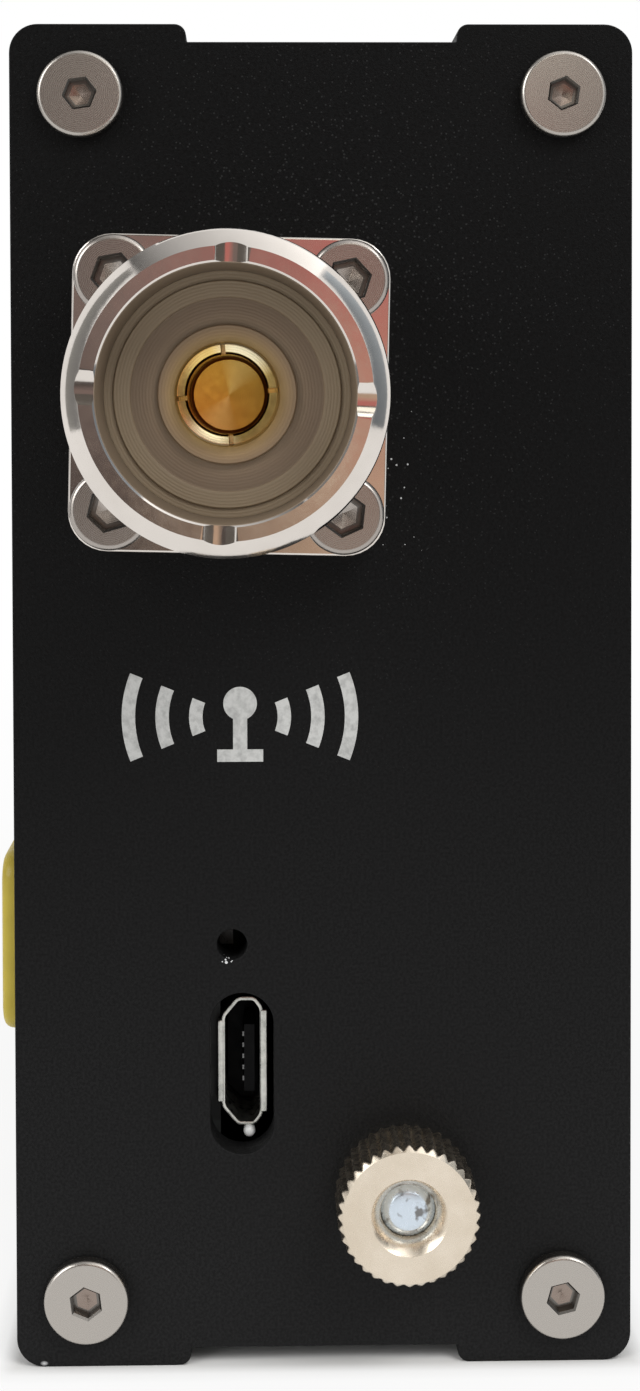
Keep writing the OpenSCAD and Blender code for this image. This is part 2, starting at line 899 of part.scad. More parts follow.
module port_shell() {
    color([0.8, 0.8, 0.8]) on_port() {
        translate([port_end_x, 0, 0]) along_x(port_l) difference() {
            port_section2d(0);
            port_section2d(port_sheet);
        }
        for (side = [-1, 1]) {
            half = side > 0 ? port_lip_half_w : port_lip_chamfered_half_w;
            translate([0, 0, -half]) linear_extrude(2 * half) polygon([
                [port_mouth_x - port_lip_l, side * (port_t / 2 - port_sheet)],
                [port_mouth_x - port_lip_l, side * port_t / 2],
                [port_mouth_x, side * (port_t / 2 + port_lip)],
                [port_mouth_x, side * (port_t / 2 + port_lip - port_sheet)]
            ]);
        }
    }
}

module port_tongue() {
    color(part_black) on_port() {
        translate([port_end_x, 0, 0]) along_x(tongue_back_l) port_section2d(port_sheet + fit_gap);
        block([port_end_x, port_mouth_x - tongue_setback], [tongue_y, tongue_y + tongue_plate_t],
            [-tongue_w / 2, tongue_w / 2]);
    }
}

module port_contacts() {
    color(gold) on_port() for (i = [-pins_each_side : pins_each_side]) {
        block([port_end_x + tongue_back_l, port_mouth_x - pin_setback], [tongue_y - pin_t, tongue_y],
            [i * pin_pitch - pin_w / 2, i * pin_pitch + pin_w / 2]);
    }
}

module charge_led() {
    color([0.9, 0.9, 0.85]) in_case()
        block([board_end_x - led_w - led_edge_gap, board_end_x - led_edge_gap],
            [board_back_y, board_back_y + led_t],
            [led_z - led_l / 2, led_z + led_l / 2]);
}

function eased(t) = t <= 0 ? 0 : t >= 1 ? 1 : t * t * (3 - 2 * t);
function line_y(x) =
    let (bend_l = tail_reach - line_end_straight - line_straight)
    core_y + (socket_y - core_y) * eased((abs(x) - line_straight) / bend_l);

module through_line() {
    route = [for (i = [-line_rings : line_rings])
        let (x = tail_reach * i / line_rings) [x, line_y(x), socket_z]];
    color([0.85, 0.8, 0.7]) in_case() tube(route, line_d, line_sides, [0, 0, 1]);
}

module ring_core(z) {
    color([0.2, 0.2, 0.22]) in_case() translate([0, core_y, z]) spun([
        [core_bore_d / 2, core_edge - core_t / 2], [core_bore_d / 2 + core_edge, -core_t / 2],
        [core_d / 2 - core_edge, -core_t / 2], [core_d / 2, core_edge - core_t / 2],
        [core_d / 2, core_t / 2 - core_edge], [core_d / 2 - core_edge, core_t / 2],
        [core_bore_d / 2 + core_edge, core_t / 2], [core_bore_d / 2, core_t / 2 - core_edge]
    ]);
}

// Wire around the ring's section, slightly squared so that it follows the core
function squared(v) = sign(v) * sqrt(abs(v));
function wrap_point(i) =
    let (
        u = 360 * i / wrap_rings,
        a = 90 - wrap_span / 2 + wrap_span * i / (core_turns * wrap_rings),
        r = core_mid_r + wrap_w * squared(cos(u))
    )
    [wrap_l * squared(sin(u)), r * cos(a), r * sin(a)];

module ring_winding(z) {
    color(copper) in_case() translate([0, core_y, z])
        tube([for (i = [0 : core_turns * wrap_rings]) wrap_point(i)], wire_d, wire_sides, [0, 1, 0]);
}

module current_core() {
    ring_core(socket_z);
}

module current_winding() {
    ring_winding(socket_z);
}

module voltage_core() {
    ring_core(voltage_core_z);
}

module voltage_winding() {
    ring_winding(voltage_core_z);
}

// A part that stands on the back of the main board, centred at x and z
module on_board(x, z) {
    in_case() translate([x, board_back_y, z]) children();
}

module balance_trimmers() {
    color([0.1, 0.25, 0.6]) for (side = [-1, 1]) {
        on_board(side * trimmer_x, trimmer_z) difference() {
            block([-trimmer_w / 2, trimmer_w / 2], [0, trimmer_t], [-trimmer_w / 2, trimmer_w / 2]);
            along_y(trimmer_t - trimmer_screw_depth, trimmer_t + cut)
                circle(d = trimmer_screw_d, $fn = round_fn);
        }
    }
}

module detector_diodes() {
    color([0.75, 0.35, 0.2]) for (side = [-1, 1]) {
        on_board(side * diode_x, diode_z) translate([0, diode_d / 2, 0])
            rod(diode_d, -diode_l / 2, diode_l / 2);
    }
}

module board_capacitors() {
    places = concat(
        [for (side = [-1, 1], z = cap_part_heights) [side * cap_part_x, z]],
        [for (z = port_cap_part_heights) [port_cap_part_x, z]]
    );
    color([0.65, 0.55, 0.4]) for (place = places) {
        on_board(place[0], place[1])
            block([-cap_part_l / 2, cap_part_l / 2], [0, cap_part_t], [-cap_part_w / 2, cap_part_w / 2]);
    }
}

module chip_legs(count, pitch, reach) {
    for (i = [0 : count - 1], side = [-1, 1]) {
        x = (i - (count - 1) / 2) * pitch;
        block([x - leg_w / 2, x + leg_w / 2], [0, leg_t],
            side > 0 ? [reach - leg_l, reach] : [-reach, leg_l - reach]);
    }
}

module controller_chip() {
    reach = chip_w / 2 + leg_out;
    color(part_black) on_board(chip_x, chip_z) {
        block([-chip_w / 2, chip_w / 2], [0, chip_t], [-chip_w / 2, chip_w / 2]);
        chip_legs(chip_side_legs, leg_pitch, reach);
        rotate([0, 90, 0]) chip_legs(chip_side_legs, leg_pitch, reach);
    }
}

module charger_chip() {
    color(part_black) on_board(charger_x, charger_z) {
        block([-charger_l / 2, charger_l / 2], [0, charger_t], [-charger_w / 2, charger_w / 2]);
        chip_legs(charger_side_legs, charger_pitch, charger_w / 2 + leg_out);
    }
}

// Power button

module power_switch() {
    hole = plunger_w + 2 * run_gap;
    room = plunger_foot_w + 2 * plunger_side_gap;
    color(part_black) in_case() translate([0, 0, cap_z]) difference() {
        along_y(switch_front_y, board_front_y) square(switch_w, center = true);
        along_y(switch_front_y + switch_wall, board_front_y - switch_wall) square(room, center = true);
        along_y(switch_front_y - cut, switch_front_y + 2 * switch_wall) square(hole, center = true);
    }
}

module switch_plunger() {
    color([0.85, 0.85, 0.8]) in_case() translate([0, 0, cap_z]) {
        along_y(cap_back_y - cap_socket_l, plunger_foot_y + plunger_foot_t)
            square(plunger_w, center = true);
        along_y(plunger_foot_y, plunger_foot_y + plunger_foot_t) square(plunger_foot_w, center = true);
    }
}

module button_cap() {
    face_y = front_y - cap_proud;
    color([0.85, 0.72, 0.2]) in_case() translate([0, 0, cap_z]) difference() {
        union() {
            hull() for (edge = cap_edges) {
                along_y(face_y + edge[0], face_y + edge[0] + 2 * sliver)
                    rounded2d(cap_w - 2 * edge[1], cap_w - 2 * edge[1], cap_corner_r, cap_edge_fn);
            }
            along_y(face_y + cap_edges[3][0], cap_back_y + cap_flange_t)
                rounded2d(cap_w, cap_w, cap_corner_r);
            along_y(cap_back_y, cap_back_y + cap_flange_t)
                rounded2d(cap_w + 2 * cap_flange, cap_w + 2 * cap_flange, cap_corner_r);
        }
        along_y(cap_back_y - cap_socket_l, cap_back_y + cap_flange_t + cut) square(plunger_w, center = true);
    }
}

// Display

module at_display_corners() {
    for (x = [-1, 1], z = [-1, 1]) {
        translate([x * (display_w / 2 - spacer_inset), 0, z * (display_h / 2 - spacer_inset)]) children();
    }
}

module on_display() {
    in_case() translate([0, 0, display_z]) children();
}

module display_board() {
    color([0.05, 0.1, 0.3]) on_display() difference() {
        along_y(display_board_front_y, display_board_back_y) square([display_w, display_h], center = true);
        at_display_corners() along_y(display_board_front_y - cut, display_board_back_y + cut)
            circle(d = display_screw_d + free_gap, $fn = round_fn);
    }
}

module display_panel() {
    color([0.03, 0.03, 0.05]) on_display()
        along_y(glass_front_y, display_board_front_y) square([glass_w, glass_h], center = true);
}

module display_window() {
    w = window_w + 2 * window_ledge - 2 * fit_gap;
    h = window_h + 2 * window_ledge - 2 * fit_gap;
    color([0.1, 0.1, 0.12]) on_display()
        along_y(front_y, front_y + window_t) rounded2d(w, h, window_corner_r + window_ledge - fit_gap);
}

module display_header() {
    color(part_black) on_display() translate([0, 0, display_h / 2 - header_inset]) {
        block([-header_pins * header_pitch / 2, header_pins * header_pitch / 2],
            [display_board_back_y, display_board_back_y + header_block_t],
            [-header_pitch / 2, header_pitch / 2]);
        for (i = [0 : header_pins - 1]) {
            x = (i - (header_pins - 1) / 2) * header_pitch;
            block([x - header_pin_w / 2, x + header_pin_w / 2], [display_board_back_y, board_front_y],
                [-header_pin_w / 2, header_pin_w / 2]);
        }
    }
}

module display_spacers() {
    color(gold) on_display() at_display_corners()
        along_y(display_board_back_y, board_front_y) difference() {
            circle(d = spacer_d, $fn = round_fn);
            circle(d = spacer_bore_d, $fn = round_fn);
        }
}

module display_screws() {
    color(nickel) on_display() at_display_corners() {
        along_y(display_board_front_y - display_screw_head_t, display_board_front_y)
            circle(d = display_screw_head_d, $fn = round_fn);
        along_y(display_board_front_y - sliver, display_board_back_y + display_screw_reach)
            circle(d = display_screw_d, $fn = round_fn);
    }
}

// Battery

module battery_cell() {
    y0 = cell_back_y - cell_t;
    color([0.7, 0.7, 0.72]) in_case() translate([0, 0, cell_low_z + cell_h / 2])
        translate([-cell_w / 2, (y0 + cell_back_y) / 2, 0])
            along_x(cell_w) rounded2d(cell_t, cell_h, min(cell_edge_r, cell_t / 2 - sliver));
}

module battery_pad() {
    color([0.9, 0.9, 0.85]) in_case()
        block([pad_inset - cell_w / 2, cell_w / 2 - pad_inset], [cell_back_y, back_in_y],
            [cell_low_z + pad_inset, cell_low_z + cell_h - pad_inset]);
}

module battery_header() {
    color([0.9, 0.88, 0.8]) on_board(plug_x, plug_z)
        block([-plug_w / 2, plug_w / 2], [0, header_t], [-plug_h / 2, plug_h / 2]);
}

module battery_plug() {
    color([0.95, 0.93, 0.88]) on_board(plug_x, plug_z)
        block([plug_inset - plug_w / 2, plug_w / 2 - plug_inset], [header_t, header_t + plug_t],
            [plug_inset - plug_h / 2, plug_h / 2 - plug_inset]);
}

module battery_lead_positive() {
    color([0.75, 0.08, 0.06]) in_case() tube(positive_route, lead_d, lead_sides, [1, 0, 0]);
}

module battery_lead_negative() {
    color(part_black) in_case() tube(negative_route, lead_d, lead_sides, [1, 0, 0]);
}

front_shell();
rear_shell();
antenna_plate();
transmitter_plate();
antenna_plate_screws();
transmitter_plate_screws();
antenna_socket_body();
antenna_socket_insulator();
antenna_socket_contact();
antenna_socket_screws();
antenna_socket_nuts();
transmitter_socket_body();
transmitter_socket_insulator();
transmitter_socket_contact();
transmitter_socket_screws();
transmitter_socket_nuts();
ground_stud();
ground_lug();
ground_washer();
ground_thumb_nut();
ground_lead();
main_board();
port_shell();
port_tongue();
port_contacts();
charge_led();
through_line();
current_core();
current_winding();
voltage_core();
voltage_winding();
balance_trimmers();
detector_diodes();
board_capacitors();
controller_chip();
charger_chip();
power_switch();
switch_plunger();
button_cap();
display_board();
display_panel();
display_window();
display_header();
display_spacers();
display_screws();
battery_cell();
battery_pad();
battery_header();
battery_plug();
battery_lead_positive();
battery_lead_negative();
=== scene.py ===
import math
import bpy
from mathutils import Matrix, Vector


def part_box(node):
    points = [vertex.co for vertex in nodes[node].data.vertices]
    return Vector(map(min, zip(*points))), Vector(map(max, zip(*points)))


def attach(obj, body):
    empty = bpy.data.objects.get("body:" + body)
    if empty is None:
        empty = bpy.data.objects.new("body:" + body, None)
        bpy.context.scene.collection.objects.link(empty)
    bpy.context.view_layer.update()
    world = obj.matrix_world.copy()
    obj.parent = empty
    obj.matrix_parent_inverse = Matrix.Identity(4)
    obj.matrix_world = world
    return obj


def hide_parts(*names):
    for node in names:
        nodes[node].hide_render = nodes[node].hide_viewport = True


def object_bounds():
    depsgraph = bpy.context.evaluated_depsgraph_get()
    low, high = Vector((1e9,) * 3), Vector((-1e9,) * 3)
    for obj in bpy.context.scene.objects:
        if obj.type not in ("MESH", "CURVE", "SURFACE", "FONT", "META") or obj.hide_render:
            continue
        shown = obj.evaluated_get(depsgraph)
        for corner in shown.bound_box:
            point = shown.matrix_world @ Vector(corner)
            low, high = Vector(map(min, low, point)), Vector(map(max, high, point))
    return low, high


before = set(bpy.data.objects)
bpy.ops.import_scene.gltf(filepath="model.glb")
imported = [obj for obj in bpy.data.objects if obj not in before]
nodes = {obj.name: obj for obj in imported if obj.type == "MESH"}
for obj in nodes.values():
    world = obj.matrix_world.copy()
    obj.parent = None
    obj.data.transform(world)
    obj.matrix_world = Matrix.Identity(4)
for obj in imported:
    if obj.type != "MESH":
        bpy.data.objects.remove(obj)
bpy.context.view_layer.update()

# Half shells
# The case is two extruded aluminium halves, blasted to an even matt grain and anodised black.
# They meet in the shallow channel along the top and the bottom, and the end plates close them.

mm = 0.001
case_height = 76 * mm


def deselect():
    """Leave nothing selected."""
    bpy.ops.object.select_all(action="DESELECT")


def alone(*pieces):
    """Select these pieces and nothing else, with the first one active."""
    deselect()
    for piece in pieces:
        piece.select_set(True)
    bpy.context.view_layer.objects.active = pieces[0]


def settle():
    """Move the place, turn and scale of what is selected into its mesh."""
    bpy.ops.object.transform_apply(location=True, rotation=True, scale=True)


def open_mesh():
    """Go into edit mode with the whole mesh selected."""
    bpy.ops.object.mode_set(mode="EDIT")
    bpy.ops.mesh.select_all(action="SELECT")


def close_mesh():
    """Go back to object mode."""
    bpy.ops.object.mode_set(mode="OBJECT")


def modified(piece, kind, **settings):
    """Put a modifier with its settings on a piece and apply it."""
    alone(piece)
    change = piece.modifiers.new(kind.lower(), kind)
    for setting, value in settings.items():
        setattr(change, setting, value)
    bpy.ops.object.modifier_apply(modifier=change.name)


def soften(piece, width, segments=3, sharper_than=0.6):
    """Round the edges of a piece that are sharper than an angle."""
    modified(
        piece, "BEVEL", width=width, segments=segments, limit_method="ANGLE", angle_limit=sharper_than,
        loop_slide=False,
    )


def merged_copy(node, name):
    """Copy a solid of the frame and merge its loose triangles into whole faces."""
    piece = bpy.data.objects.new(name, nodes[node].data.copy())
    bpy.context.collection.objects.link(piece)
    alone(piece)
    open_mesh()
    bpy.ops.mesh.remove_doubles(threshold=0.001 * mm)
    bpy.ops.mesh.customdata_custom_splitnormals_clear()
    bpy.ops.mesh.dissolve_limited(angle_limit=0.002)
    close_mesh()
    return piece


def eased_copy(node, name, width, segments=3):
    """Copy a solid of the frame and ease its sharp edges."""
    piece = merged_copy(node, name)
    soften(piece, width, segments)
    return piece


def finished(piece, finish, slot, body, *replaced):
    """Smooth a piece, give it its finish and tie it to the frame."""
    alone(piece)
    settle()
    bpy.ops.object.shade_smooth_by_angle(angle=0.62)
    modified(piece, "WEIGHTED_NORMAL", keep_sharp=True)
    piece.data.materials.clear()
    piece.data.materials.append(finish)
    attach(piece, body)
    if replaced:
        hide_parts(*replaced)


def new_finish(name, colour, rough, metal=0.0):
    """A surface with a plain colour, roughness and metal share to start from."""
    finish = bpy.data.materials.new(name)
    finish.use_nodes = True
    shader = surface(finish)
    shader.inputs["Base Color"].default_value = (*colour, 1)
    shader.inputs["Roughness"].default_value = rough
    shader.inputs["Metallic"].default_value = metal
    return finish


def surface(finish):
    """The shader of a finish."""
    return finish.node_tree.nodes["Principled BSDF"]


def add_node(finish, kind, **settings):
    """Add a node, with its inputs or its own settings given by name."""
    made = finish.node_tree.nodes.new(kind)
    for setting, value in settings.items():
        if setting in made.inputs:
            made.inputs[setting].default_value = value
        else:
            setattr(made, setting, value)
    return made


def wire(finish, value, node, socket):
    """Run an output to an input of a node, or set the input to a fixed value."""
    if isinstance(value, bpy.types.NodeSocket):
        finish.node_tree.links.new(value, node.inputs[socket])
    else:
        node.inputs[socket].default_value = value


def places_on(finish, centre=(0, 0, 0), stretch=(1, 1, 1)):
    """The piece's own coordinates, counted from a centre and stretched."""
    source = add_node(finish, "ShaderNodeTexCoord")
    shift = tuple(-c * s for c, s in zip(centre, stretch))
    mapping = add_node(finish, "ShaderNodeMapping", Location=shift, Scale=stretch)
    wire(finish, source.outputs["Object"], mapping, "Vector")
    return mapping.outputs["Vector"]


def grain(finish, size, detail=2.0, stretch=(1, 1, 1)):
    """Noise with lumps of about the given size."""
    lumps = add_node(finish, "ShaderNodeTexNoise", Scale=1 / size, Detail=detail)
    wire(finish, places_on(finish, stretch=stretch), lumps, "Vector")
    return lumps.outputs[0]


def ramp_of(finish, factor, bands):
    """The colour that a factor picks from bands of places and colours."""
    ramp = add_node(finish, "ShaderNodeValToRGB")
    stops = ramp.color_ramp.elements
    stops[0].position, stops[1].position = bands[0][0], bands[-1][0]
    stops[0].color, stops[1].color = (*bands[0][1], 1), (*bands[-1][1], 1)
    for position, colour in bands[1:-1]:
        stops.new(position).color = (*colour, 1)
    wire(finish, factor, ramp, "Fac")
    return ramp.outputs["Color"]


def banded(finish, factor, bands):
    """Let a factor pick the colour of the surface from bands of places and colours."""
    wire(finish, ramp_of(finish, factor, bands), surface(finish), "Base Color")


def toned(finish, factor, low, high, start=0.35, end=0.65):
    """Let a factor blend the colour of the surface between two colours."""
    banded(finish, factor, ((start, low), (end, high)))


def mixed(finish, factor, low, high, how="MIX"):
    """The mix of two colours, fixed or from nodes, at a factor."""
    mix = add_node(finish, "ShaderNodeMix", data_type="RGBA", blend_type=how)
    wire(finish, factor, mix, 0)
    for socket, colour in ((6, low), (7, high)):
        wire(finish, (*colour, 1) if isinstance(colour, tuple) else colour, mix, socket)
    return mix.outputs[2]


def blended(finish, factor, colour, how="MIX"):
    """Let a factor lay a colour over the colour of the surface."""
    under = surface(finish).inputs["Base Color"].links[0].from_socket
    wire(finish, mixed(finish, factor, under, colour, how), surface(finish), "Base Color")


def glossed(finish, factor, low, high, start=0.35, end=0.65):
    """Let a factor move the roughness of the surface between two values."""
    span = add_node(finish, "ShaderNodeMapRange", **{
        "From Min": start, "From Max": end, "To Min": low, "To Max": high,
    })
    wire(finish, factor, span, "Value")
    wire(finish, span.outputs[0], surface(finish), "Roughness")


def raised(finish, height, depth, strength=1.0):
    """Let a factor raise the surface, on top of what already raises it."""
    bump = add_node(finish, "ShaderNodeBump", Strength=strength, Distance=depth)
    wire(finish, height, bump, "Height")
    normal = surface(finish).inputs["Normal"]
    if normal.is_linked:
        wire(finish, normal.links[0].from_socket, bump, "Normal")
    wire(finish, bump.outputs["Normal"], surface(finish), "Normal")


anodised = new_finish("anodised_black_blasted", (0.0045, 0.0045, 0.0046), 0.5)
surface(anodised).inputs["Specular IOR Level"].default_value = 0.085
# Painted light: the black is painted lighter towards the bottom, as light from the floor, and darker
# towards the top.
height = add_node(anodised, "ShaderNodeTexGradient", gradient_type="LINEAR")
painted_light_axis = add_node(anodised, "ShaderNodeMapping", Rotation=(0, math.pi / 2, 0))
wire(anodised, places_on(anodised, stretch=(1 / case_height,) * 3), painted_light_axis, "Vector")
wire(anodised, painted_light_axis.outputs["Vector"], height, "Vector")
toned(anodised, height.outputs[1], (0.0133, 0.0133, 0.0135), (0.0038, 0.0038, 0.0039), 0.0, 0.75)
speckle = ramp_of(anodised, grain(anodised, 0.16 * mm, 1), ((0.35, (0.58,) * 3), (0.65, (1.0,) * 3)))
blended(anodised, 1.0, speckle, "MULTIPLY")
glossed(anodised, grain(anodised, 0.25 * mm), 0.4, 0.56)
raised(anodised, grain(anodised, 0.09 * mm, 1), 0.025 * mm)

for half in ("front_shell", "rear_shell"):
    shell = eased_copy(half, half + "_eased", 0.15 * mm)
    finished(shell, anodised, "anodised_black", "case", half)

# Boards and the parts on them
# A black fibreglass board with printed tracks carries the port, the chips and the small parts.
# It slides in rails of the rear shell; all of this stays inside the closed case.


def painted(finish, *names):
    """Give nodes that keep their shape a finish."""
    for name in names:
        for place in nodes[name].material_slots:
            place.material = finish


def mottled(name, colour, rough, metal=0.0, size=0.5 * mm, depth=0.01 * mm, change=0.2):
    """A finish that is slightly uneven in colour, gloss and height."""
    finish = new_finish(name, colour, rough, metal)
    lumps = grain(finish, size, 3)
    toned(finish, lumps, [c * (1 - change) for c in colour], [min(1, c * (1 + change)) for c in colour])
    glossed(finish, lumps, rough * 0.85, min(1, rough * 1.15))
    raised(finish, grain(finish, size / 3), depth)
    return finish


solder_mask = new_finish("solder_mask_black", (0.012, 0.013, 0.013), 0.5)
surface(solder_mask).inputs["Specular IOR Level"].default_value = 0.3
tracks = add_node(solder_mask, "ShaderNodeTexVoronoi", Scale=1 / (1.6 * mm), distance="CHEBYCHEV")
wire(solder_mask, places_on(solder_mask), tracks, "Vector")
toned(solder_mask, tracks.outputs["Distance"], (0.01, 0.011, 0.011), (0.022, 0.024, 0.023), 0.42, 0.46)
raised(solder_mask, tracks.outputs["Distance"], 0.02 * mm)
painted(solder_mask, "main_board", "display_board")

painted(mottled("chip_epoxy", (0.02, 0.02, 0.022), 0.55), "controller_chip", "charger_chip")
painted(mottled("capacitor_ceramic", (0.36, 0.22, 0.11), 0.45), "board_capacitors")
painted(mottled("diode_glass_amber", (0.5, 0.16, 0.04), 0.12), "detector_diodes")
painted(mottled("trimmer_case_blue", (0.02, 0.1, 0.42), 0.4), "balance_trimmers")
painted(mottled("tinned_steel", (0.62, 0.6, 0.57), 0.3, 1.0), "ground_lug", "display_screws")
moulded_black = mottled("moulded_black", (0.018, 0.018, 0.02), 0.45)
painted(moulded_black, "power_switch", "display_header")
moulded_pale = mottled("moulded_pale", (0.72, 0.69, 0.62), 0.5)
painted(moulded_pale, "display_spacers", "battery_header", "battery_plug", "switch_plunger")

# Through line, ring cores and their windings
# A sleeved copper line runs from contact to contact through the current core, and a second core
# takes the voltage sample. Enamelled wire is wound on both ferrite rings by hand.


def rounded_copy(node, name):
    """Copy a many-sided solid of the frame and round it by subdivision."""
    piece = merged_copy(node, name)
    modified(piece, "SUBSURF", levels=1, render_levels=1)
    return piece


ferrite = mottled("ferrite_grey", (0.045, 0.043, 0.042), 0.6, 0.0, 0.3 * mm, 0.02 * mm, 0.3)
enamelled_copper = mottled("enamelled_copper", (0.55, 0.2, 0.09), 0.25, 1.0, 0.8 * mm)
for core in ("current_core", "voltage_core"):
    ring = eased_copy(core, core + "_eased", 0.2 * mm)
    finished(ring, ferrite, "ferrite", "case", core)
for winding in ("current_winding", "voltage_winding"):
    finished(rounded_copy(winding, winding + "_round"), enamelled_copper, "copper_wire", "case", winding)
through_line = rounded_copy("through_line", "through_line_round")
line_sleeve = mottled("line_sleeve_white", (0.7, 0.68, 0.62), 0.4)
finished(through_line, line_sleeve, "line_sleeve", "case", "through_line")

# Battery and leads
# A flat lithium cell in a silver pouch lies on a thin foam pad against the back wall.
# Two stranded leads run to a white plug on the board, and a green lead grounds the case.

pouch = mottled("pouch_foil", (0.66, 0.66, 0.64), 0.34, 1.0, 4 * mm, 0.12 * mm, 0.08)
cell = eased_copy("battery_cell", "battery_cell_pouch", 0.35 * mm, 4)
finished(cell, pouch, "cell_foil", "case", "battery_cell")
foam = mottled("foam_grey", (0.11, 0.11, 0.12), 0.9, 0.0, 0.3 * mm, 0.08 * mm, 0.35)
pad = eased_copy("battery_pad", "battery_pad_foam", 0.1 * mm)
finished(pad, foam, "foam_pad", "case", "battery_pad")
for lead, slot, colour in (
    ("battery_lead_positive", "lead_red", (0.5, 0.02, 0.015)),
    ("battery_lead_negative", "lead_black", (0.015, 0.015, 0.016)),
    ("ground_lead", "lead_green", (0.03, 0.22, 0.05)),
):
    sleeve = mottled(slot + "_sleeve", colour, 0.4)
    finished(rounded_copy(lead, lead + "_round"), sleeve, slot, "case", lead)

# Display
# A glass panel stands behind a smoked acrylic window that lies flush in the front shell.
# The window is cut from sheet, with edges broken by the cutter.

panel_glass = new_finish("panel_glass", (0.006, 0.007, 0.009), 0.08)
dots = add_node(panel_glass, "ShaderNodeTexVoronoi", Scale=1 / (0.25 * mm), Randomness=0.0)
wire(panel_glass, places_on(panel_glass), dots, "Vector")
toned(panel_glass, dots.outputs["Distance"], (0.006, 0.008, 0.011), (0.014, 0.016, 0.02), 0.3, 0.55)
glossed(panel_glass, grain(panel_glass, 3 * mm), 0.06, 0.12)
painted(panel_glass, "display_panel")

smoked = new_finish("smoked_acrylic", (0.05, 0.052, 0.056), 0.06)
surface(smoked).inputs["Transmission Weight"].default_value = 0.75
surface(smoked).inputs["IOR"].default_value = 1.49
toned(smoked, grain(smoked, 6 * mm), (0.045, 0.047, 0.05), (0.06, 0.062, 0.066))
glossed(smoked, grain(smoked, 1.5 * mm, 4), 0.04, 0.1)
window = eased_copy("display_window", "display_window_eased", 0.08 * mm)
finished(window, smoked, "window_acrylic", "case", "display_window")

# Push button
# A square ochre cap, moulded in one piece with the flange that keeps it in the front shell.
# Its face has softly rolled edges and a satin, finely sparked texture from the mould.

plate_low, plate_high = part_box("antenna_plate")
case_y = (plate_low.y + plate_high.y) / 2
cap_side = 12.6 * mm
cap_corner = 2 * mm
cap_flange_side = 14.4 * mm
cap_flange_corner = 2.9 * mm
cap_face_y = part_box("button_cap")[0].y
cap_body_back_y = case_y - 15.82 * mm
cap_flange_back_y = case_y - 14.82 * mm
cap_z = 17 * mm
cap_roll = 0.95 * mm
seat_half_height = 1.55 * mm
seat_gap = 0.05 * mm


def pick_edges(piece, test):
    """In edit mode, select the edges of a piece that pass a test on their two ends."""
    bpy.ops.mesh.select_mode(type="EDGE")
    bpy.ops.mesh.select_all(action="DESELECT")
    close_mesh()
    corners = piece.data.vertices
    for edge in piece.data.edges:
        edge.select = test(corners[edge.vertices[0]].co, corners[edge.vertices[1]].co)
    bpy.ops.object.mode_set(mode="EDIT")


def block(name, low, high):
    """A plain block between two corners, left active and in object mode."""
    middle = [(a + b) / 2 for a, b in zip(low, high)]
    deselect()
    bpy.ops.mesh.primitive_cube_add(size=1, location=middle)
    piece = bpy.context.object
    piece.name = name
    piece.scale = [b - a for a, b in zip(low, high)]
    settle()
    return piece


def round_corners(piece, axis, radius, segments=8):
    """Round the four edges of a block that run along an axis."""
    alone(piece)
    across = [i for i in range(3) if i != axis]
    open_mesh()
    pick_edges(piece, lambda a, b: all(abs(a[i] - b[i]) < 1e-6 for i in across))
    bpy.ops.mesh.bevel(offset=radius, segments=segments, affect="EDGES")
    close_mesh()


def cut_from(piece, tool, how="DIFFERENCE"):
    """Cut a piece with a tool, or join the two, and put the tool away."""
    modified(piece, "BOOLEAN", operation=how, object=tool, solver="EXACT")
    bpy.data.objects.remove(tool)


half_cap = cap_side / 2
cap = block(
    "button_cap_moulded",
    (-half_cap, cap_face_y, cap_z - half_cap),
    (half_cap, cap_body_back_y, cap_z + half_cap),
)
round_corners(cap, 1, cap_corner)
open_mesh()
pick_edges(cap, lambda a, b: max(a.y, b.y) < cap_face_y + 0.01 * mm)
bpy.ops.mesh.bevel(offset=cap_roll, segments=7, affect="EDGES", profile=0.6)
close_mesh()
half_flange = cap_flange_side / 2
cap_flange = block(
    "button_cap_flange",
    (-half_flange, cap_body_back_y, cap_z - half_flange),
    (half_flange, cap_flange_back_y, cap_z + half_flange),
)
round_corners(cap_flange, 1, cap_flange_corner)
soften(cap_flange, 0.15 * mm)
cut_from(cap, cap_flange, "UNION")
plunger_low, plunger_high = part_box("switch_plunger")
plunger_seat = block(
    "plunger_seat",
    (plunger_low.x - seat_gap, plunger_low.y - seat_gap, cap_z - seat_half_height),
    (plunger_high.x + seat_gap, cap_flange_back_y + mm, cap_z + seat_half_height),
)
cut_from(cap, plunger_seat)

ochre = new_finish("ochre_moulded", (0.46, 0.35, 0.024), 0.45)
toned(ochre, grain(ochre, 3 * mm, 3), (0.42, 0.315, 0.018), (0.5, 0.385, 0.03))
glossed(ochre, grain(ochre, 0.4 * mm), 0.38, 0.52)
raised(ochre, grain(ochre, 0.12 * mm, 1), 0.012 * mm)
finished(cap, ochre, "yellow_plastic", "power_button", "button_cap")

# End plates
# Two flat aluminium plates, cut from sheet and anodised with the shells, close the ends.
# The antenna plate has the holes for the port, the light and the ground stud.

face_x = plate_high.x


def near_share(finish, middle, reach):
    """A share that falls from 1 at a middle to 0 at its reach along each axis."""
    near = add_node(finish, "ShaderNodeTexGradient", gradient_type="SPHERICAL")
    wire(finish, places_on(finish, middle, [1 / r for r in reach]), near, "Vector")
    return near.outputs[1]


def maths(finish, operation, *values):
    """The result of a calculation on values, fixed or from nodes."""
    step = add_node(finish, "ShaderNodeMath", operation=operation)
    for socket, value in enumerate(values):
        wire(finish, value, step, socket)
    return step.outputs[0]


def dust_and_glint_specks(finish, middle, reach, spacing, fill, tone):
    """Scatter specks over the surface around a middle, thinning out within its reach."""
    specks = add_node(finish, "ShaderNodeTexVoronoi", Scale=1 / spacing)
    wire(finish, places_on(finish), specks, "Vector")
    size = maths(finish, "MULTIPLY", near_share(finish, middle, reach), fill)
    blended(finish, maths(finish, "LESS_THAN", specks.outputs["Distance"], size), (tone,) * 3)


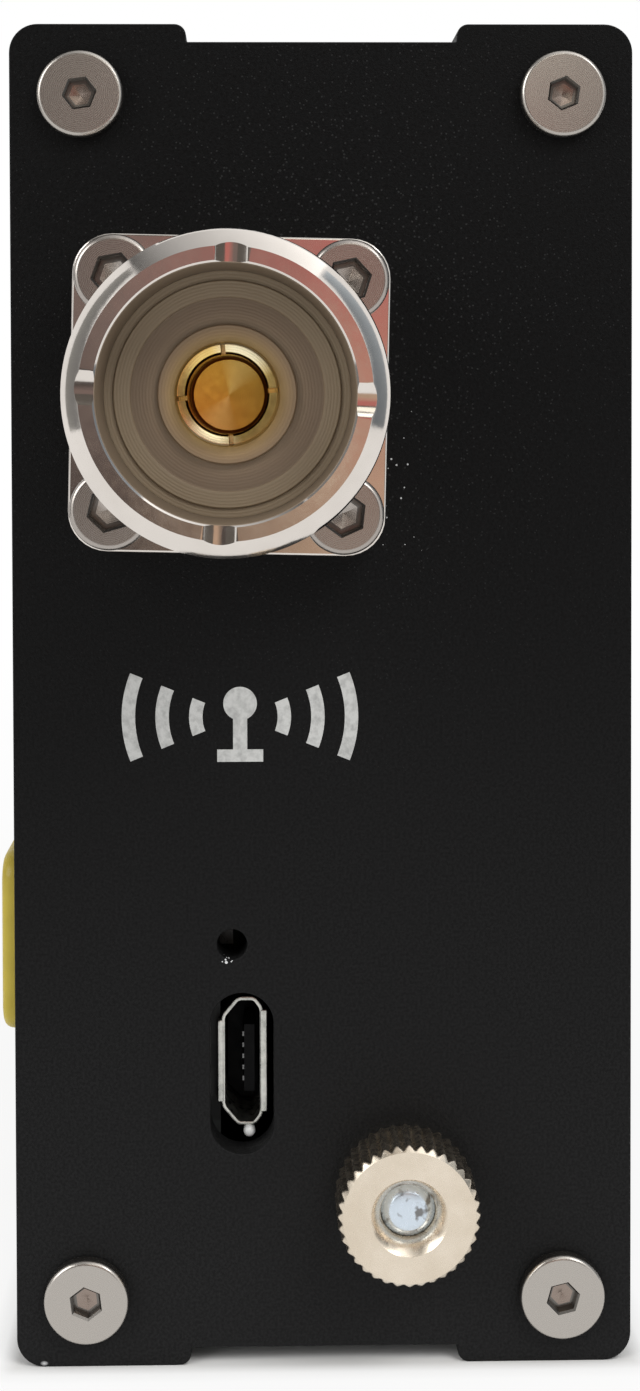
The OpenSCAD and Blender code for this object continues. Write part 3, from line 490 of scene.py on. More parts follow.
dust_and_glints = anodised.copy()
dust_and_glints.name = "anodised_black_dust_and_glints"
thin_dust = ((0, 60), (40, 34, 40), 0.3, 0.25, 0.017)
socket_dust = ((4.2, 50.2), (4, 2.2, 7), 0.55, 0.14, 0.4)
# The specks at the lower edge of the light hole are painted glints; the other two groups of specks are
# dust.
painted_hole_glints = ((-5.55, 23.15), (1, 0.6, 0.35), 0.2, 0.55, 0.6)
for (y, z), reach, spacing, fill, tone in (thin_dust, socket_dust, painted_hole_glints):
    middle = (face_x, case_y + y * mm, z * mm)
    dust_and_glint_specks(dust_and_glints, middle, [r * mm for r in reach], spacing * mm, fill, tone)
nick = (face_x, plate_low.y + 1.55 * mm, 0.22 * mm)
nick_reach = (0.6 * mm, 0.24 * mm, 0.15 * mm)
blended(dust_and_glints, near_share(dust_and_glints, nick, nick_reach), (0.6, 0.6, 0.6))
for plate, finish in (("antenna_plate", dust_and_glints), ("transmitter_plate", anodised)):
    finished(eased_copy(plate, plate + "_eased", 0.13 * mm), finish, "anodised_black", "case", plate)

# Printed marks
# Light grey ink, screen printed on the anodised plates: an aerial with its waves marks the antenna
# end, and a wave in a circle marks the transmitter end.

ink_under = 0.01 * mm
ink_proud = 0.02 * mm
mark_y = case_y - 4.7 * mm
mark_z = 37.05 * mm
ink_layer = 0.001 * mm
wave_half = 0.38 * mm
wave_spread = math.radians(23.5)


def pick(piece, test):
    """In edit mode, select the corners of a piece that pass a test on their place."""
    bpy.ops.mesh.select_mode(type="VERT")
    bpy.ops.mesh.select_all(action="DESELECT")
    close_mesh()
    for corner in piece.data.vertices:
        corner.select = test(corner.co)
    bpy.ops.object.mode_set(mode="EDIT")


def flat_ring(inner, outer, spread=None):
    """A flat ring across X, or only its two arcs within an angle of the Y axis."""
    deselect()
    bpy.ops.mesh.primitive_circle_add(vertices=180, radius=outer, rotation=(0, math.pi / 2, 0))
    ring = bpy.context.object
    settle()
    open_mesh()
    bpy.ops.mesh.extrude_region_move()
    bpy.ops.transform.resize(value=(inner / outer,) * 3, center_override=(0, 0, 0))
    if spread:
        slope = math.tan(spread)
        pick(ring, lambda at: abs(at.z) > abs(at.y) * slope)
        bpy.ops.mesh.delete(type="VERT")
    close_mesh()
    return ring


def flat_strip(points, width):
    """A flat strip across X that follows points in Y and Z."""
    deselect()
    bpy.ops.mesh.primitive_grid_add(x_subdivisions=1, y_subdivisions=len(points) - 1, size=1)
    strip = bpy.context.object
    columns = sorted({round(c.co.y, 5) for c in strip.data.vertices})
    for corner in strip.data.vertices:
        step = columns.index(round(corner.co.y, 5))
        here = Vector(points[step])
        before = Vector(points[max(step - 1, 0)])
        after = Vector(points[min(step + 1, len(points) - 1)])
        along = (after - before).normalized()
        across = Vector((along.y, -along.x)) * width / 2
        side = 1 if corner.co.x > 0 else -1
        corner.co = (0, here.x + side * across.x, here.y + side * across.y)
    return strip


def close_outward():
    """Turn all faces of the open mesh outward and go back to object mode."""
    bpy.ops.mesh.select_all(action="SELECT")
    bpy.ops.mesh.normals_make_consistent(inside=False)
    close_mesh()


def printed(name, strips, end):
    """Give flat strips their thickness, join them and lay the mark on the face of an end plate."""
    for step, strip in enumerate(strips):
        alone(strip)
        open_mesh()
        thickness = ink_under + ink_proud + step * ink_layer
        bpy.ops.mesh.extrude_region_move(TRANSFORM_OT_translate={"value": (thickness, 0, 0)})
        close_outward()
    alone(*strips)
    bpy.ops.object.join()
    mark = strips[0]
    mark.name = name
    mark.location = (end * (face_x - ink_under), mark_y, mark_z)
    mark.rotation_euler = (0, 0, 0 if end > 0 else math.pi)
    return mark


ink = new_finish("ink_light_grey", (0.42, 0.42, 0.41), 0.7)
toned(ink, grain(ink, 0.35 * mm, 3), (0.33, 0.33, 0.32), (0.48, 0.48, 0.465), 0.3, 0.6)
raised(ink, grain(ink, 0.1 * mm), 0.01 * mm)

waves = [
    flat_ring(radius * mm - wave_half, radius * mm + wave_half, wave_spread) for radius in (2.5, 4.4, 6.3)
]
aerial = flat_strip([(0, -2.55 * mm), (0, -0.2 * mm), (0, 0.6 * mm)], 0.8 * mm)
deselect()
bpy.ops.mesh.primitive_circle_add(
    vertices=48, radius=0.95 * mm, fill_type="NGON",
    location=(0, 0, 0.75 * mm), rotation=(0, math.pi / 2, 0),
)
aerial_top = bpy.context.object
settle()
foot = flat_strip([(-1.3 * mm, -2.2 * mm), (1.3 * mm, -2.2 * mm)], 0.7 * mm)
antenna_mark = printed("antenna_mark", waves + [aerial, aerial_top, foot], 1)
finished(antenna_mark, ink, "pale_plastic", "case")

wave_steps = 24
wave_points = [
    (1.5 * mm * (2 * i / wave_steps - 1), 0.85 * mm * math.sin(2 * math.pi * i / wave_steps))
    for i in range(wave_steps + 1)
]
transmitter_mark = printed(
    "transmitter_mark", [flat_ring(1.95 * mm, 2.5 * mm), flat_strip(wave_points, 0.55 * mm)], -1
)
finished(transmitter_mark, ink, "pale_plastic", "case")

# Case screws
# Thin flat heads with a hexagon recess, turned from stainless steel, hold each plate at its corners.
# Each stops where its thread ran tight, so the recesses point different ways.

case_head_d = 4.8 * mm
case_head_t = 0.9 * mm
case_key = 1.5 * mm
case_key_floor = 0.27 * mm
case_shank_d = 2.5 * mm
case_shank_l = 9 * mm
case_head_ease = 0.25 * mm
fine_ease = 0.12 * mm
case_screw_places = [(case_y + side * 13.5 * mm, z * mm) for z in (72, 4) for side in (-1, 1)]


def turned(name, profile, sides=96, ring=False):
    """Turn a profile of places along X and radii, from its first step to its last."""
    at, radius = profile[0]
    deselect()
    bpy.ops.mesh.primitive_circle_add(
        vertices=sides, radius=radius, location=(at, 0, 0), rotation=(0, math.pi / 2, 0)
    )
    piece = bpy.context.object
    piece.name = name
    settle()
    open_mesh()
    for next_at, next_radius in profile[1:]:
        bpy.ops.mesh.extrude_region_move(TRANSFORM_OT_translate={"value": (next_at - at, 0, 0)})
        size = next_radius / radius
        bpy.ops.transform.resize(value=(1, size, size), center_override=(next_at, 0, 0))
        at, radius = next_at, next_radius
    bpy.ops.mesh.select_all(action="DESELECT")
    bpy.ops.mesh.select_mode(type="EDGE")
    bpy.ops.mesh.select_non_manifold()
    if ring:
        bpy.ops.mesh.bridge_edge_loops()
    else:
        bpy.ops.mesh.fill_holes(sides=0)
    close_outward()
    return piece


def key_screw(name, head_d, head_t, edge, key, floor, shank_d, shank_l):
    """A screw along X with its seat at 0 and a hexagon recess in its head."""
    head_r = head_d / 2
    shank_r = shank_d / 2
    screw = turned(name, [
        (-shank_l, shank_r * 0.7), (0.3 * shank_r - shank_l, shank_r), (0, shank_r),
        (0, head_r - fine_ease), (fine_ease, head_r), (head_t - edge, head_r),
        (head_t - edge * 0.6, head_r - edge * 0.12), (head_t - edge * 0.22, head_r - edge * 0.45),
        (head_t, head_r - edge),
    ])
    flat_r = key / math.sqrt(3)
    drilled_r = flat_r * 0.74
    point = 0.385 * drilled_r
    recess = turned(name + "_key", [
        (floor - point, 0.02 * mm), (floor, drilled_r), (floor, flat_r),
        (head_t - fine_ease, flat_r), (head_t + 0.06 * mm, flat_r + 0.18 * mm),
    ], 6)
    cut_from(screw, recess)
    # The UV map marks the faces of the recess walls, which the finish paints darker as shade.
    around = screw.data.uv_layers.new(name="around")
    for face in screw.data.polygons:
        reach = math.hypot(face.center.y, face.center.z)
        painted_wall_shade = 0 < face.center.x < head_t - 0.002 * mm and 0.7 * flat_r < reach < 1.2 * flat_r
        for loop in face.loop_indices:
            place = screw.data.vertices[screw.data.loops[loop].vertex_index].co
            spot = (place.y * 0.8 / head_r, place.z * 0.8 / head_r)
            around.data[loop].uv = (1, 0) if painted_wall_shade else spot
    return screw


def copied(master, name, places):
    """Copy a piece to each turn about its length, place and end, and join the copies."""
    made = []
    for turn, place, end in places:
        copy = bpy.data.objects.new(name, master.data.copy())
        bpy.context.collection.objects.link(copy)
        facing = Matrix.Rotation(0 if end > 0 else math.pi, 4, "Z")
        copy.matrix_world = Matrix.Translation(place) @ facing @ Matrix.Rotation(turn, 4, "X")
        made.append(copy)
    alone(*made)
    settle()
    if len(made) > 1:
        bpy.ops.object.join()
    return made[0]


def vector_maths(finish, operation, *values):
    """The result of a calculation on vectors: a number for a length, or else a vector."""
    step = add_node(finish, "ShaderNodeVectorMath", operation=operation)
    for socket, value in enumerate(values):
        wire(finish, value, step, socket)
    return step.outputs["Value" if operation == "LENGTH" else "Vector"]


def head_finish(name, colour, key_share, pale):
    """Turned steel with fine rings on the head and a hexagon recess, its floor in a colour of its own and
    its walls painted darker as shade.
    """
    finish = new_finish(name, colour, 0.28, 1.0)
    spot = add_node(finish, "ShaderNodeUVMap", uv_map="around").outputs["UV"]
    painted_wall_shade = [c * 0.4 for c in colour]
    banded(finish, vector_maths(finish, "LENGTH", spot), (
        (0.0, pale), (0.66 * key_share, pale), (0.8 * key_share, colour), (0.9, colour), (0.95, painted_wall_shade),
    ))
    rings = add_node(
        finish, "ShaderNodeTexWave", Scale=9.0, Distortion=1.0, Detail=2,
        wave_type="RINGS", rings_direction="Z",
    )
    wire(finish, spot, rings, "Vector")
    glossed(finish, rings.outputs[0], 0.26, 0.31, 0.0, 1.0)
    raised(finish, rings.outputs[0], 0.0004 * mm)
    return finish


case_steel = head_finish(
    "case_screw_steel", (0.45, 0.42, 0.385), case_key / case_head_d, (0.31, 0.25, 0.215)
)
case_screw = key_screw(
    "case_screw", case_head_d, case_head_t, case_head_ease, case_key, case_key_floor, case_shank_d,
    case_shank_l,
)
for end, node, turns in (
    (1, "antenna_plate_screws", (8, 22, 37, 14)),
    (-1, "transmitter_plate_screws", (31, 5, 18, 44)),
):
    screws = copied(case_screw, node + "_turned", [
        (math.radians(turn), Vector((end * face_x, y, z)), end)
        for turn, (y, z) in zip(turns, case_screw_places)
    ])
    finished(screws, case_steel, "screw_steel", "case", node)
bpy.data.objects.remove(case_screw)

# Antenna and transmitter sockets
# Each body is turned in one piece with its square flange, threaded, and nickel plated. The rim has
# four notches for the teeth of the plug, and the flange sits slightly turned on its plate.

socket_y = case_y - 5.2 * mm
socket_z = 55.2 * mm
flange_side = 17.5 * mm
flange_t = 2.7 * mm
flange_turn = math.radians(-1.35)
rim_x = 17.1 * mm
thread_r = 7.9375 * mm
thread_depth = 0.45 * mm
thread_pitch = 1.058 * mm
thread_land = 0.5 * mm
thread_from_x = 7 * mm
thread_run_out = 0.5 * mm
thread_step = 0.09 * mm
chamfer_x = rim_x - 0.93 * mm
chamfer_crown = 0.06 * mm
chamfer_steps = 6
rim_r = 7.05 * mm
rim_ease = 0.13 * mm
bore_r = 6.25 * mm
notch_x = rim_x + 2.37 * mm
notch_r = 2.5 * mm
notch_reach = 9 * mm
flange_corner = 2.2 * mm
flange_pitch = 12.7 * mm
flange_bore_r = 6.2 * mm
flange_hole_r = 1.4 * mm


def thread_radius(x, turn):
    """The radius of the right-handed thread at a place along X and a share of a turn."""
    share = ((x - thread_from_x) / thread_pitch - turn) % 1
    flank = (1 - thread_land / thread_pitch) / 2
    rise = min(1, (0.5 - abs(share - 0.5)) / flank)
    rise *= min(1, (x - thread_from_x) / thread_run_out)
    filled = min(1, max(0, 1 + (x - chamfer_x) / thread_run_out))
    return thread_r - thread_depth * (1 - max(rise, filled))


def steps_mm(start, *steps):
    """Steps of a profile in millimetres, along X from a start and out from the axis."""
    return [(start + along * mm, radius * mm) for along, radius in steps]


def socket_blank():
    """A socket body along X with the back of its flange at 0."""
    thread_l = chamfer_x - thread_from_x
    steps = round(thread_l / thread_step)
    wall = [(thread_from_x + thread_l * step / steps, thread_r) for step in range(1, steps + 1)]
    chamfer = []
    for step in range(1, chamfer_steps):
        share = step / chamfer_steps
        crown = 4 * chamfer_crown * share * (1 - share)
        chamfer.append((
            chamfer_x + (rim_x - chamfer_x) * share + crown * math.sqrt(0.5),
            thread_r + (rim_r - thread_r) * share + crown * math.sqrt(0.5),
        ))
    root_r = thread_r - thread_depth
    body = turned("socket_body", [
        *steps_mm(0, (-6, 4.2), (-6, 5.4), (-5.8, 5.6), (0.1, 5.6), (0.1, 6.5)),
        (thread_from_x - 0.3 * mm, 6.5 * mm), (thread_from_x - 0.3 * mm, root_r - 0.3 * mm),
        (thread_from_x, root_r), *wall, *chamfer,
        (rim_x, rim_r), (rim_x, bore_r + rim_ease), (rim_x - rim_ease, bore_r),
        (flange_t, bore_r), (flange_t, 4.2 * mm),
    ], 120, ring=True)
    for corner in body.data.vertices:
        x, y, z = corner.co
        reach = math.hypot(y, z)
        if thread_from_x < x < chamfer_x and reach > thread_r - 0.1 * mm:
            size = thread_radius(x, math.atan2(z, y) / (2 * math.pi)) / reach
            corner.co = (x, y * size, z * size)
    half = flange_side / 2
    flange = block("socket_flange", (0, -half, -half), (flange_t, half, half))
    round_corners(flange, 0, flange_corner)
    soften(flange, 0.14 * mm)
    cut_from(flange, turned("flange_middle", [(-mm, flange_bore_r), (flange_t + mm, flange_bore_r)], 128))
    for y in (-1, 1):
        for z in (-1, 1):
            hole = turned("flange_hole", [(-mm, flange_hole_r), (flange_t + mm, flange_hole_r)], 48)
            hole.location = (0, y * flange_pitch / 2, z * flange_pitch / 2)
            cut_from(flange, hole)
    cut_from(body, flange, "UNION")
    for turn in (-2.5, 87.5):
        notch = turned("rim_notch", [(-notch_reach, notch_r), (notch_reach, notch_r)], 120)
        notch.rotation_euler = (0, 0, math.pi / 2)
        notch.location = (notch_x, 0, 0)
        alone(notch)
        settle()
        notch.rotation_euler = (math.radians(turn) - flange_turn, 0, 0)
        cut_from(body, notch)
    return body


def from_axis(finish):
    """How far a point lies from the axis of the sockets."""
    return vector_maths(finish, "LENGTH", places_on(finish, (0, socket_y, socket_z), (0, 1, 1)))


def nickel_finish(name, bore):
    """Bright nickel plate, dull, unmetallic and dark brown where it lines a bore, as painted shade inside
    the bore.
    """
    finish = new_finish(name, (0.72, 0.67, 0.62), 0.18, 1.0)
    toned(finish, grain(finish, 2.5 * mm, 4), (0.69, 0.64, 0.59), (0.74, 0.69, 0.64))
    glossed(finish, grain(finish, 0.8 * mm, 4), 0.08, 0.13)
    raised(finish, grain(finish, 0.5 * mm, 2), 0.002 * mm)
    if bore:
        # Painted shade: inside the bore the plate turns dark brown, rough and unmetallic.
        inside = maths(finish, "LESS_THAN", from_axis(finish), bore)
        blended(finish, inside, (0.197, 0.147, 0.1))
        shader = surface(finish)
        for socket, value in (("Roughness", 0.5), ("Metallic", 0.0)):
            entry = shader.inputs[socket]
            mix = add_node(finish, "ShaderNodeMix")
            wire(finish, inside, mix, 0)
            wire(finish, entry.links[0].from_socket if entry.is_linked else entry.default_value, mix, 2)
            wire(finish, value, mix, 3)
            wire(finish, mix.outputs[0], shader, socket)
    return finish


socket_nickel = nickel_finish("nickel_plate_socket", bore_r + 0.04 * mm)

socket_master = socket_blank()
socket_ends = ((1, "antenna_socket"), (-1, "transmitter_socket"))
for end, name in socket_ends:
    body = copied(socket_master, name + "_body_turned", [
        (end * flange_turn, Vector((end * face_x, socket_y, socket_z)), end)
    ])
    finished(body, socket_nickel, "nickel", "case", name + "_body")
bpy.data.objects.remove(socket_master)

# Insulator and centre contact
# A grey moulded insulator with stepped rings fills the bore behind the rim and holds the contact,
# a gilt brass tube with four slits, whose bore ends in a drilled cone.

contact_x = 12.3 * mm
contact_r = 2.6 * mm
insulator_reach = 6.2 * mm
slit_half = 0.12 * mm
slit_l = 4 * mm


def reach_share(finish, reach):
    """How far a point lies from the axis of the sockets, as a share of a reach."""
    share = add_node(finish, "ShaderNodeMapRange", **{"From Max": reach})
    wire(finish, from_axis(finish), share, "Value")
    return share.outputs[0]


def ring_marks(finish, period, depth):
    """Fine turning rings about the axis of the sockets."""
    rings = add_node(
        finish, "ShaderNodeTexWave", Scale=2 * math.pi / (20 * period), Distortion=1.5, Detail=2,
        wave_type="RINGS", rings_direction="X",
    )
    wire(finish, places_on(finish, (0, socket_y, socket_z)), rings, "Vector")
    raised(finish, rings.outputs[0], depth)


insulator_grey = new_finish("insulator_grey", (0.14, 0.115, 0.085), 0.42)
# Painted by distance from the axis: the innermost band is a painted warm reflection of the gilt contact,
# and the bands over the steps are set lighter or darker ring by ring as painted light and shade.
banded(insulator_grey, reach_share(insulator_grey, insulator_reach), (
    (0.4, (0.6, 0.4, 0.135)), (0.5, (0.4, 0.266, 0.132)), (0.56, (0.29, 0.198, 0.118)),
    (0.575, (0.34, 0.252, 0.162)), (0.63, (0.3, 0.215, 0.138)), (0.68, (0.25, 0.178, 0.116)),
    (0.785, (0.234, 0.17, 0.114)), (0.8, (0.312, 0.24, 0.155)), (0.92, (0.312, 0.24, 0.155)),
    (1.0, (0.3, 0.23, 0.15)),
))
glossed(insulator_grey, grain(insulator_grey, 0.3 * mm), 0.36, 0.48)
ring_marks(insulator_grey, 0.16 * mm, 0.006 * mm)
raised(insulator_grey, grain(insulator_grey, 0.1 * mm), 0.006 * mm)

gilt = new_finish("gilt_brass", (0.84, 0.53, 0.12), 0.2, 1.0)
round_gilt = add_node(gilt, "ShaderNodeSeparateXYZ")
wire(gilt, places_on(gilt, (0, socket_y, socket_z)), round_gilt, 0)
# A wave around the axis paints two light and two dark sectors on the contact: painted highlights on the
# bore floor and, below, on the rim.
gilt_turn = maths(gilt, "ARCTAN2", round_gilt.outputs["Z"], round_gilt.outputs["Y"])
painted_highlight_wave = maths(gilt, "SINE", maths(gilt, "MULTIPLY_ADD", gilt_turn, 2.0, -0.77))
toned(gilt, painted_highlight_wave, (0.85, 0.53, 0.1), (1.0, 0.75, 0.24), 0.2, 1.0)
gilt_reach = reach_share(gilt, contact_r)
rim_painted_highlight = ramp_of(gilt, painted_highlight_wave, ((0.1, (0.86, 0.62, 0.22)), (0.9, (1.0, 0.9, 0.6))))
rim_share = ramp_of(gilt, gilt_reach, ((0.8, (0.0,) * 3), (0.83, (1.0,) * 3)))
blended(gilt, rim_share, rim_painted_highlight)
bore_shade = ramp_of(gilt, gilt_reach, (
    (0.742, (1.0,) * 3), (0.747, (0.1, 0.05, 0.03)), (0.8, (0.1, 0.05, 0.03)), (0.818, (1.0,) * 3),
))
blended(gilt, 1.0, bore_shade, "MULTIPLY")
glossed(gilt, grain(gilt, 0.5 * mm, 3), 0.18, 0.25)
ring_marks(gilt, 0.12 * mm, 0.0006 * mm)

insulator_master = turned("socket_insulator", [
    *steps_mm(0, (-6, 1.65), (-6, 4.15), (2.75, 4.15), (2.75, 6.24)),
    *steps_mm(
        contact_x, (-0.95, 6.24), (-0.95, 5.79), (-0.84, 5.76), (-0.8, 5.71), (-0.8, 4.95), (-0.84, 4.9),
        (-0.98, 4.86), (-0.92, 3.55), (-0.56, 3.52), (-0.5, 3.46), (-0.5, 2.66), (-0.55, 2.61),
    ),
    *steps_mm(0, (2.75, 2.61), (2.75, 1.65)),
], 128, ring=True)
contact_master = turned("socket_contact", [
    *steps_mm(0, (-10.5, 1.05), (-10.35, 1.2), (-6, 1.2), (-6, 1.6), (2.8, 1.6), (2.8, 2.6)),
    *steps_mm(
        contact_x, (-0.2, 2.6), (-0.05, 2.58), (0, 2.5), (-0.01, 2.42), (-0.07, 2.12), (-0.16, 2.04),
        (-0.3, 2.0), (-1.2, 2.1),
    ),
    *steps_mm(0, (3.4, 2.1), (3.4, 1.94), (4.2, 1.94), (4.24, 1.9), (4.16, 0.06)),
], 96)
for turn in (5, 95):
    slit = block(
        "contact_slit", (contact_x - slit_l, -slit_l, -slit_half), (contact_x + mm, slit_l, slit_half)
    )
    slit.rotation_euler = (math.radians(turn), 0, 0)
    cut_from(contact_master, slit)
for end, name in socket_ends:
    at_end = [(0, Vector((end * face_x, socket_y, socket_z)), end)]
    insulator = copied(insulator_master, name + "_insulator_moulded", at_end)
    finished(insulator, insulator_grey, "insulator_grey", "case", name + "_insulator")
    contact = copied(contact_master, name + "_contact_gilt", at_end)
    finished(contact, gilt, "gilt", "case", name + "_contact")
bpy.data.objects.remove(insulator_master)
bpy.data.objects.remove(contact_master)

# Flange screws and nuts
# Four cylinder-head screws of turned steel, with hexagon recesses, hold each socket to its plate.
# Plated nuts take them up behind the plate.

flange_head_d = 4.4 * mm
flange_head_t = 1.8 * mm
flange_head_ease = 0.3 * mm
flange_key = 2 * mm
flange_key_floor = 0.54 * mm
flange_shank_d = 2.5 * mm
flange_shank_l = 7.3 * mm

nickel = nickel_finish("nickel_plate", 0)
flange_steel = head_finish(
    "flange_screw_steel", (0.4, 0.365, 0.335), flange_key / flange_head_d, (0.46, 0.42, 0.385)
)
flange_screw = key_screw(
    "flange_screw", flange_head_d, flange_head_t, flange_head_ease, flange_key, flange_key_floor,
    flange_shank_d, flange_shank_l,
)
for end, name in socket_ends:
    seats = []
    for turn, y, z in ((10, -1, 1), (12, 1, 1), (24, 1, -1), (16, -1, -1)):
        spot = Vector((0, y * flange_pitch / 2, z * flange_pitch / 2))
        spot.rotate(Matrix.Rotation(flange_turn, 3, "X"))
        middle = Vector((end * (face_x + flange_t), socket_y, socket_z))
        seats.append((math.radians(turn), spot + middle, end))
    screws = copied(flange_screw, name + "_screws_turned", seats)
    finished(screws, flange_steel, "screw_steel", "case", name + "_screws")
    nuts = eased_copy(name + "_nuts", name + "_nuts_eased", 0.1 * mm)
    finished(nuts, nickel, "screw_steel", "case", name + "_nuts")
bpy.data.objects.remove(flange_screw)

# Charging port and light
# A folded steel shell with a dark tongue and plated strips shows through the slot in the plate,
# and a small light sits behind the round hole above it.

port_y = case_y - 4.65 * mm
port_z = 16.7 * mm
port_mouth_x = 29.8 * mm
port_l = 5.3 * mm
port_sheet = 0.22 * mm
port_bend = 0.24 * mm
port_outline = (
    (0.75, 3.75), (1.225, 3.1), (1.225, -3.1), (0.75, -3.75), (-0.3, -3.75), (-1.225, -2.65),
    (-1.225, 2.65), (-0.3, 3.75),
)
port_lips = ((-1.465, -1.08, 2.4), (1.02, 1.465, 3.0))
solder_axis = (0, port_y + 0.39 * mm, port_z - 4.03 * mm)

deselect()
bpy.ops.mesh.primitive_circle_add(vertices=len(port_outline), radius=1, fill_type="NGON")
port = bpy.context.object
port.name = "port_shell_folded"
for corner, (y, z) in zip(port.data.vertices, port_outline):
    corner.co = (port_mouth_x, port_y + y * mm, port_z + z * mm)
open_mesh()
bpy.ops.mesh.bevel(offset=port_bend, segments=4, affect="VERTICES")
bpy.ops.mesh.select_all(action="SELECT")
bpy.ops.mesh.inset(thickness=port_sheet)
bpy.ops.mesh.delete(type="ONLY_FACE")
bpy.ops.mesh.select_all(action="SELECT")
bpy.ops.mesh.extrude_region_move(TRANSFORM_OT_translate={"value": (-port_l, 0, 0)})
close_outward()
soften(port, 0.05 * mm, 2, 1.0)
for y_from, y_to, reach in port_lips:
    lip = block(
        "port_lip",
        (port_mouth_x - 0.5 * mm, port_y + y_from * mm, port_z - reach * mm),
        (port_mouth_x + 0.03 * mm, port_y + y_to * mm, port_z + reach * mm),
    )
    soften(lip, 0.09 * mm)
    cut_from(port, lip, "UNION")
port_steel = mottled("port_steel_bright", (0.55, 0.55, 0.51), 0.3, 1.0, 0.5 * mm, 0.012 * mm, 0.25)
finished(port, port_steel, "port_steel", "case", "port_shell")
solder = turned("port_solder_bead", steps_mm(
    port_mouth_x, (-0.7, 0.2), (-0.5, 0.33), (0.1, 0.34), (0.26, 0.29), (0.35, 0.2), (0.38, 0.05)
), 32)
solder.location = solder_axis
# The bead is near-white and unmetallic, a painted highlight in place of tinned metal.
solder_painted_highlight = mottled("solder_painted_highlight", (0.95, 0.95, 0.93), 0.35, 0.0, 0.4 * mm, 0.004 * mm, 0.05)
surface(solder_painted_highlight).inputs["Specular IOR Level"].default_value = 1.0
finished(solder, solder_painted_highlight, "port_steel", "case")
tongue_black = mottled("tongue_black", (0.004, 0.004, 0.0045), 0.6)
surface(tongue_black).inputs["Specular IOR Level"].default_value = 0.12
painted(tongue_black, "port_tongue")
painted(mottled("strip_nickel", (0.2, 0.2, 0.2), 0.35, 1.0, 0.3 * mm), "port_contacts")
painted(mottled("lamp_resin", (0.05, 0.05, 0.045), 0.3, 0.0, 0.3 * mm), "charge_led")

# Ground terminal
# A threaded stud through the plate, a flat washer, and a knurled brass nut with a satin nickel
# finish. The nut's face is dished, so the rounded end of the stud shows in it.

ground_axis = (0, case_y + 4.5 * mm, 10.2 * mm)
nut_back_x = 32.6 * mm
nut_front_x = 36.5 * mm
nut_r = 3.95 * mm
nut_teeth = 36
tooth_depth = 0.26 * mm
tooth_curve = 1.25
nut_chamfer_l = 0.34 * mm
nut_chamfer_depth = 0.32 * mm
nut_chamfer_steps = 6
stud_end_x = 35.7 * mm

satin_nickel = new_finish("satin_nickel", (0.74, 0.65, 0.53), 0.26, 1.0)
toned(satin_nickel, grain(satin_nickel, 2 * mm, 4), (0.7, 0.61, 0.49), (0.78, 0.69, 0.57))
glossed(satin_nickel, grain(satin_nickel, 0.4 * mm, 3), 0.22, 0.32)
raised(satin_nickel, grain(satin_nickel, 0.3 * mm, 2), 0.002 * mm)

nut_chamfer = []
for step in range(nut_chamfer_steps + 1):
    share = step / nut_chamfer_steps
    nut_chamfer.append((nut_front_x - nut_chamfer_l * (1 - share), nut_r - nut_chamfer_depth * share))
nut = turned("ground_nut_knurled", [
    *steps_mm(nut_back_x, (0, 1.53), (0, 3.45)), (nut_back_x + 0.4 * mm, nut_r), *nut_chamfer,
    *steps_mm(nut_front_x, (0, 2.14), (-0.06, 2.06), (-0.55, 1.66), (-0.85, 1.53)),
], nut_teeth * 8, ring=True)
for corner in nut.data.vertices:
    x, y, z = corner.co
    share = (math.atan2(z, y) * nut_teeth / (2 * math.pi)) % 1
    groove = (1 - 2 * abs(share - 0.5)) ** tooth_curve
    size = min(1, (nut_r - tooth_depth * groove) / math.hypot(y, z))
    corner.co = (x, y * size, z * size)
nut.location = ground_axis
finished(nut, satin_nickel, "nickel", "ground_nut", "ground_thumb_nut")

washer = turned("ground_washer_flat", steps_mm(
    face_x, (0, 1.6), (0, 3.42), (0.08, 3.5), (0.5, 3.5), (0.6, 3.4), (0.6, 1.6)
), 96, ring=True)
washer.location = ground_axis
finished(washer, satin_nickel, "nickel", "ground_washer_body", "ground_washer")

# The steel is tinted blue as a painted reflection of a window, and flecked dark in lumps.
bright_steel = new_finish("stud_steel", (0.62, 0.68, 0.74), 0.3, 1.0)
dark_fleck_lumps = grain(bright_steel, 0.9 * mm, 3)
toned(bright_steel, dark_fleck_lumps, (0.22, 0.22, 0.22), (0.66, 0.74, 0.82), 0.34, 0.42)
glossed(bright_steel, grain(bright_steel, 0.3 * mm, 3), 0.25, 0.4)
raised(bright_steel, grain(bright_steel, 0.5 * mm, 2), 0.012 * mm)
stud = turned("ground_stud_domed", [
    *steps_mm(0, (27.6, 2.35), (28.0, 2.75), (29.4, 2.75), (29.4, 1.5)),
    *steps_mm(stud_end_x, (-0.5, 1.5), (-0.06, 1.1), (-0.02, 1.0), (-0.005, 0.5), (0, 0.1)),
], 96)
stud.location = ground_axis
finished(stud, bright_steel, "screw_steel", "case", "ground_stud")

# Floor, light and camera
# A pale studio floor that fades into a white surround, a broad lamp above and to the right, a
# weaker one to the left, and toned cards that only reflections show.

scene = bpy.context.scene
scene.view_settings.view_transform = "Standard"

